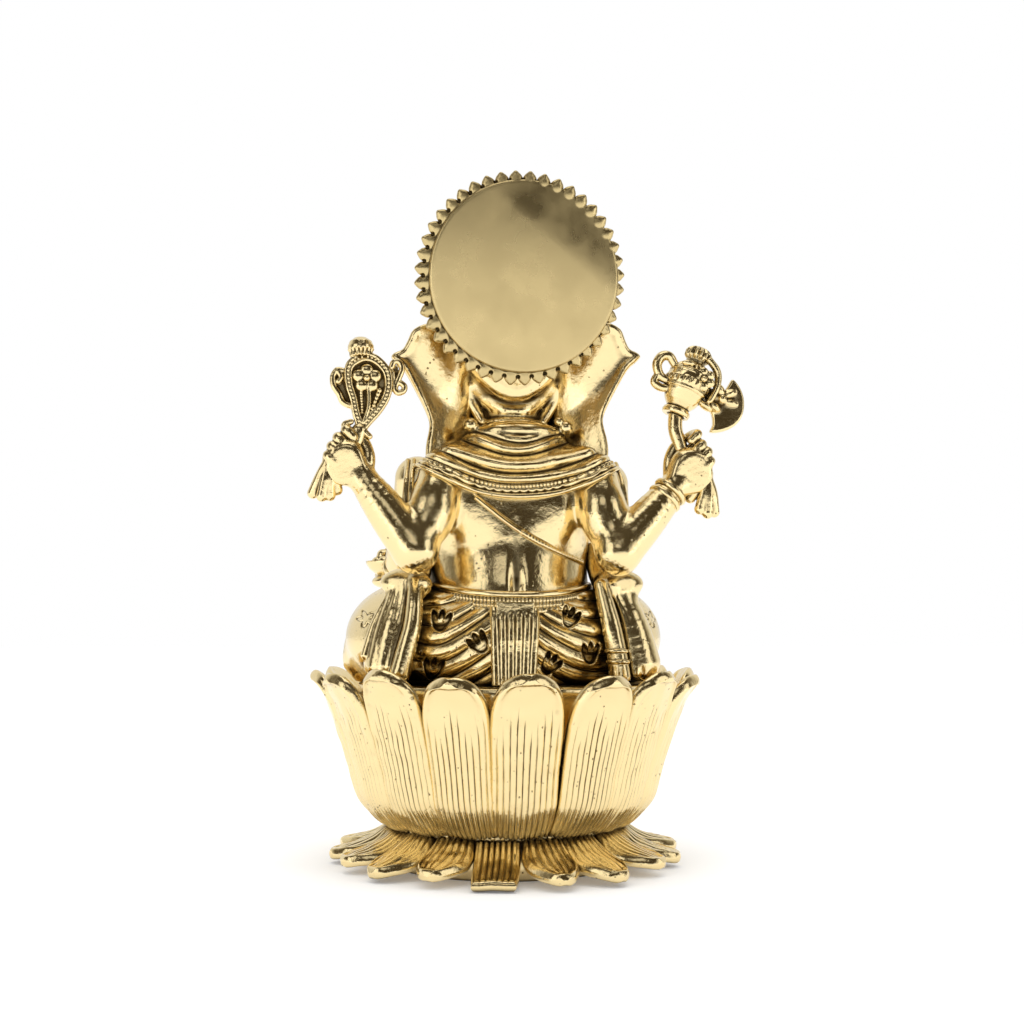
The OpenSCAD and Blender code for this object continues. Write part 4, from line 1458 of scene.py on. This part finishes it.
def patina_and_painted_shade(nodes, links, coords, pit, pitted):
    """How much darker the metal is: oxide in its hollows and pits, and painted shade in its crevices and
    where parts meet, from ambient occlusion.
    """
    hollow = nodes.new("ShaderNodeAttribute")
    hollow.attribute_name = "relief"
    # Painted shade: ambient occlusion darkens the colour in crevices and where parts meet.
    shade = nodes.new("ShaderNodeAmbientOcclusion")
    shade.inputs["Distance"].default_value = PAINTED_SHADE_REACH
    shade.samples = 6
    patch = noise(nodes, links, coords, 3.0)
    uneven = arithmetic(nodes, links, "MULTIPLY", patch, 0.10 * pitted)
    deep = arithmetic(nodes, links, "ADD", hollow.outputs["Fac"], uneven)
    dirt = ramp(nodes, links, deep, [(0.07, 0.0), (0.24, 1.0)])
    painted_crevice_shade = ramp(nodes, links, shade.outputs["AO"], [(0.12, 1.0), (0.62, 0.0)])
    patina_and_shade = arithmetic(nodes, links, "MAXIMUM", dirt, painted_crevice_shade)
    return arithmetic(nodes, links, "MAXIMUM", patina_and_shade, arithmetic(nodes, links, "MULTIPLY", pit, 0.8))


def skin_normal(nodes, links, coords, pit, grain):
    """The cast skin: fine grain, slow swells and the pits."""
    fine = arithmetic(nodes, links, "MULTIPLY", noise(nodes, links, coords, 0.9, 4.0), 0.25)
    coarse = arithmetic(nodes, links, "MULTIPLY", noise(nodes, links, coords, 5.0, 2.0), 0.7)
    height = arithmetic(nodes, links, "ADD", fine, coarse)
    height = arithmetic(nodes, links, "SUBTRACT", height, arithmetic(nodes, links, "MULTIPLY", pit, 0.35))
    bump = nodes.new("ShaderNodeBump")
    bump.inputs["Strength"].default_value = grain
    bump.inputs["Distance"].default_value = GRAIN_DEPTH
    links.new(height, bump.inputs["Height"])
    return bump.outputs["Normal"]


def cast_brass(name, bright, patina_and_shade_colour, rough, grain, pitted=1.0):
    """Polished cast brass: darker oxide in the hollows, painted shade in the crevices, fine casting grain and
    small pits.
    """
    mat, shader = new_material(name, bright, rough)
    nodes, links = mat.node_tree.nodes, mat.node_tree.links
    coords = nodes.new("ShaderNodeTexCoord").outputs["Object"]
    pit = pits_of(nodes, links, coords, pitted)
    patina_and_shade = patina_and_painted_shade(nodes, links, coords, pit, pitted)
    # The colour goes towards the darker colour with oxide in the hollows and with painted shade in the
    # crevices.
    mix = nodes.new("ShaderNodeMix")
    mix.data_type = "RGBA"
    mix.inputs["A"].default_value = (*bright, 1)
    mix.inputs["B"].default_value = (*patina_and_shade_colour, 1)
    links.new(patina_and_shade, mix.inputs["Factor"])
    links.new(mix.outputs["Result"], shader.inputs["Base Color"])
    gloss = ramp(nodes, links, noise(nodes, links, coords, 9.0), [(0.35, rough * 0.8), (0.7, rough * 1.35)])
    dull = arithmetic(nodes, links, "MULTIPLY", patina_and_shade, 0.3)
    links.new(arithmetic(nodes, links, "ADD", gloss, dull), shader.inputs["Roughness"])
    links.new(skin_normal(nodes, links, coords, pit, grain), shader.inputs["Normal"])
    return mat


def steel():
    mat, _ = new_material("Fastener steel", (0.52, 0.52, 0.54), 0.34)
    return mat


# ---- Floor, light and camera


def floor():
    bpy.ops.mesh.primitive_plane_add(size=8, location=(0, 0, -0.00005))
    obj = bpy.context.object
    obj.name = "Floor"
    mat, shader = new_material("Paper", (0.93, 0.93, 0.93), 0.8, 0.0)
    shader.inputs["Specular IOR Level"].default_value = 0.0
    shader.inputs["Emission Color"].default_value = (1, 1, 1, 1)
    shader.inputs["Emission Strength"].default_value = 0.14
    obj.data.materials.append(mat)


LIGHT_AIM = (0, 0, 0.08)
# Each soft box: name, place and size in metres, and radiance.
BOXES = [
    ("Left_box", (0.62, 0.50, 0.26), 0.42, 0.60, 1.15),
    ("Right_box", (-0.66, 0.46, 0.26), 0.36, 0.60, 1.1),
    ("Top_box", (0.0, 0.15, 0.85), 0.60, 0.45, 1.3),
    ("Camera_box", (0.14, 0.85, 0.56), 0.42, 0.26, 0.72),
]


def soft_light(name, place, target, width, height, brightness):
    """A soft box whose face has the given radiance."""
    data = bpy.data.lights.new(name, "AREA")
    data.shape = "RECTANGLE"
    data.size, data.size_y = width, height
    data.energy = brightness * math.pi * width * height
    obj = bpy.data.objects.new(name, data)
    bpy.context.scene.collection.objects.link(obj)
    obj.location = place
    obj.rotation_mode = "QUATERNION"
    way = Vector(target) - Vector(place)
    obj.rotation_quaternion = way.to_track_quat("-Z", "Y")
    return obj


def studio():
    """Soft boxes at both sides and above, in a room that is white to the camera and the floor."""
    for name, place, width, height, brightness in BOXES:
        soft_light(name, place, LIGHT_AIM, width, height, brightness)
    bpy.context.scene.view_settings.view_transform = "Standard"
    world = bpy.data.worlds.new("Room")
    bpy.context.scene.world = world
    world.use_nodes = True
    nodes, links = world.node_tree.nodes, world.node_tree.links
    nodes.clear()
    out = nodes.new("ShaderNodeOutputWorld")
    seen = nodes.new("ShaderNodeLightPath")
    room = nodes.new("ShaderNodeBackground")
    white = nodes.new("ShaderNodeBackground")
    white.inputs["Color"].default_value = (1, 1, 1, 1)
    coords = nodes.new("ShaderNodeTexCoord").outputs["Generated"]
    split = nodes.new("ShaderNodeSeparateXYZ")
    links.new(coords, split.inputs["Vector"])
    depth = arithmetic(nodes, links, "MULTIPLY_ADD", split.outputs["Y"], 0.5)
    behind = ramp(nodes, links, depth, [(0.30, (0.85, 0.85, 0.85)), (0.46, (0.34, 0.32, 0.28)),
                                         (0.58, (0.080, 0.064, 0.042)), (1.0, (0.050, 0.040, 0.026))])
    links.new(behind, room.inputs["Color"])
    plain = arithmetic(nodes, links, "ADD", seen.outputs["Is Camera Ray"], seen.outputs["Is Diffuse Ray"])
    mix = nodes.new("ShaderNodeMixShader")
    links.new(plain, mix.inputs["Fac"])
    links.new(room.outputs["Background"], mix.inputs[1])
    links.new(white.outputs["Background"], mix.inputs[2])
    links.new(mix.outputs["Shader"], out.inputs["Surface"])


# The camera: degrees round the figure, metres from its axis and up, degrees of tilt and swing,
# and millimetres of sensor and lens.
VIEW_AZIMUTH = 173
VIEW_DISTANCE = 0.327
VIEW_HEIGHT = 0.0564
VIEW_PITCH = 5.19
VIEW_SWING = 0.265
SENSOR_WIDTH = 36
LENS = 45.67


def camera():
    """The view from behind, slightly to the figure's left, looking a little upward."""
    data = bpy.data.cameras.new("Camera")
    obj = bpy.data.objects.new("Camera", data)
    bpy.context.scene.collection.objects.link(obj)
    azimuth = math.radians(VIEW_AZIMUTH)
    obj.location = (math.sin(azimuth) * VIEW_DISTANCE, -math.cos(azimuth) * VIEW_DISTANCE, VIEW_HEIGHT)
    data.sensor_width = SENSOR_WIDTH
    data.lens = LENS
    data.clip_start = 0.01
    pitch = math.radians(VIEW_PITCH)
    swing = math.radians(VIEW_SWING)
    obj.rotation_euler = (math.radians(90) + pitch, 0, azimuth - swing)
    bpy.context.scene.camera = obj


# ---- Everything

# The second colour serves both the oxide in the hollows and the painted shade in the crevices.
BRASS = cast_brass("Cast brass", (0.91, 0.73, 0.39), (0.075, 0.046, 0.015), 0.15, 0.6)
SATIN = cast_brass("Polished brass", (0.62, 0.485, 0.235), (0.10, 0.07, 0.03), 0.30, 0.04, pitted=0.0)
STEEL = steel()
TORSO = torso_solid()


def figure():
    """The castings of the body share one blended surface, and each node shows its own part of it."""
    arms = {}
    for name, s in (("left_rear", L_REAR), ("right_rear", R_REAR), ("left_front", L_FRONT),
                    ("right_front", R_FRONT)):
        arms[name] = (upper_arm_solid(s), forearm_solid(s))
    hands = {"left_rear": left_hand_solid(), "right_rear": right_hand_solid(), "left_front": palm_up(),
             "right_front": palm_raised()}
    limbs = {}
    for name, (upper, fore) in arms.items():
        hand = hands[name]
        whole = union(union(upper, fore, k=1.5), hand, k=0.8)
        limbs[name] = (whole, upper, fore, hand)
    body = union(TORSO, *[arm[0] for arm in limbs.values()], k=2.2)
    trunk_of = common(body, layer(WAIST_Z + 1.5, TORSO_Z + 1), k=0.4)
    uppers = union(*[arm[1] for arm in limbs.values()])
    shared("Torso", share(trunk_of, TORSO, uppers), FINE, BRASS, "torso")
    for name, (whole, upper, fore, hand) in limbs.items():
        words = name.replace("_", " ").capitalize()
        rest = union(TORSO, fore)
        shared(f"{words} upper arm", share(body, upper, rest), FINE, BRASS, f"{name}_upper_arm")
        shared(f"{words} forearm", share(body, fore, union(upper, hand)), FINE, BRASS, f"{name}_forearm")
        step = DETAIL if "rear" in name else FINE
        shared(f"{words} hand", share(body, hand, fore), step, BRASS, f"{name}_hand")


def head_pieces():
    skull = head_solid()
    trunk = trunk_shape()
    rings_on_trunk = raised(trunk, along_trunk, 0.5)
    whole = union(skull, rings_on_trunk, k=3)
    upper = common(whole, layer(TORSO_Z - 1, 200))
    capped = common(upper, layer(TORSO_Z - 1, HEAD_TOP_Z + 0.6), k=0.5)
    shared("Head", share(capped, skull, trunk), FINE, BRASS, "head")
    shared("Trunk", share(whole, trunk, skull), FINE, BRASS, "trunk")
    make("Left tusk", sculpted(tusk(1, 12), DETAIL), BRASS, "cast_brass", "left_tusk")
    make("Right tusk", sculpted(tusk(-1, 7), DETAIL), BRASS, "cast_brass", "right_tusk")
    ear = ear_solid()
    make("Left ear", sculpted(ear), BRASS, "cast_brass", "left_ear")
    make("Right ear", sculpted(moved(mirrored(ear), (-1.8, 0, 1.6))), BRASS, "cast_brass", "right_ear")


floor()
studio()
camera()
lotus_cup(BRASS)
lotus_skirt(BRASS)
seat_plate(BRASS)
legs(BRASS)
pleats(BRASS)
sash(1, BRASS)
sash(-1, BRASS)
figure()
belt(BRASS)
sacred_thread(BRASS)
shawl(BRASS)
head_pieces()
crown(BRASS)
crown_band(BRASS)
halo(SATIN)
halo_rivet(BRASS)
noose(BRASS)
axe_head(BRASS)
for cloth_end in TASSELS:
    tassel(*cloth_end, BRASS)
bracelets(BRASS)
necklace(BRASS)
bowl_and_sweets(BRASS)
for hardware in ("fixing_stud", "fixing_washer", "fixing_nut"):
    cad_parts[hardware].data.materials.clear()
    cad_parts[hardware].data.materials.append(STEEL)
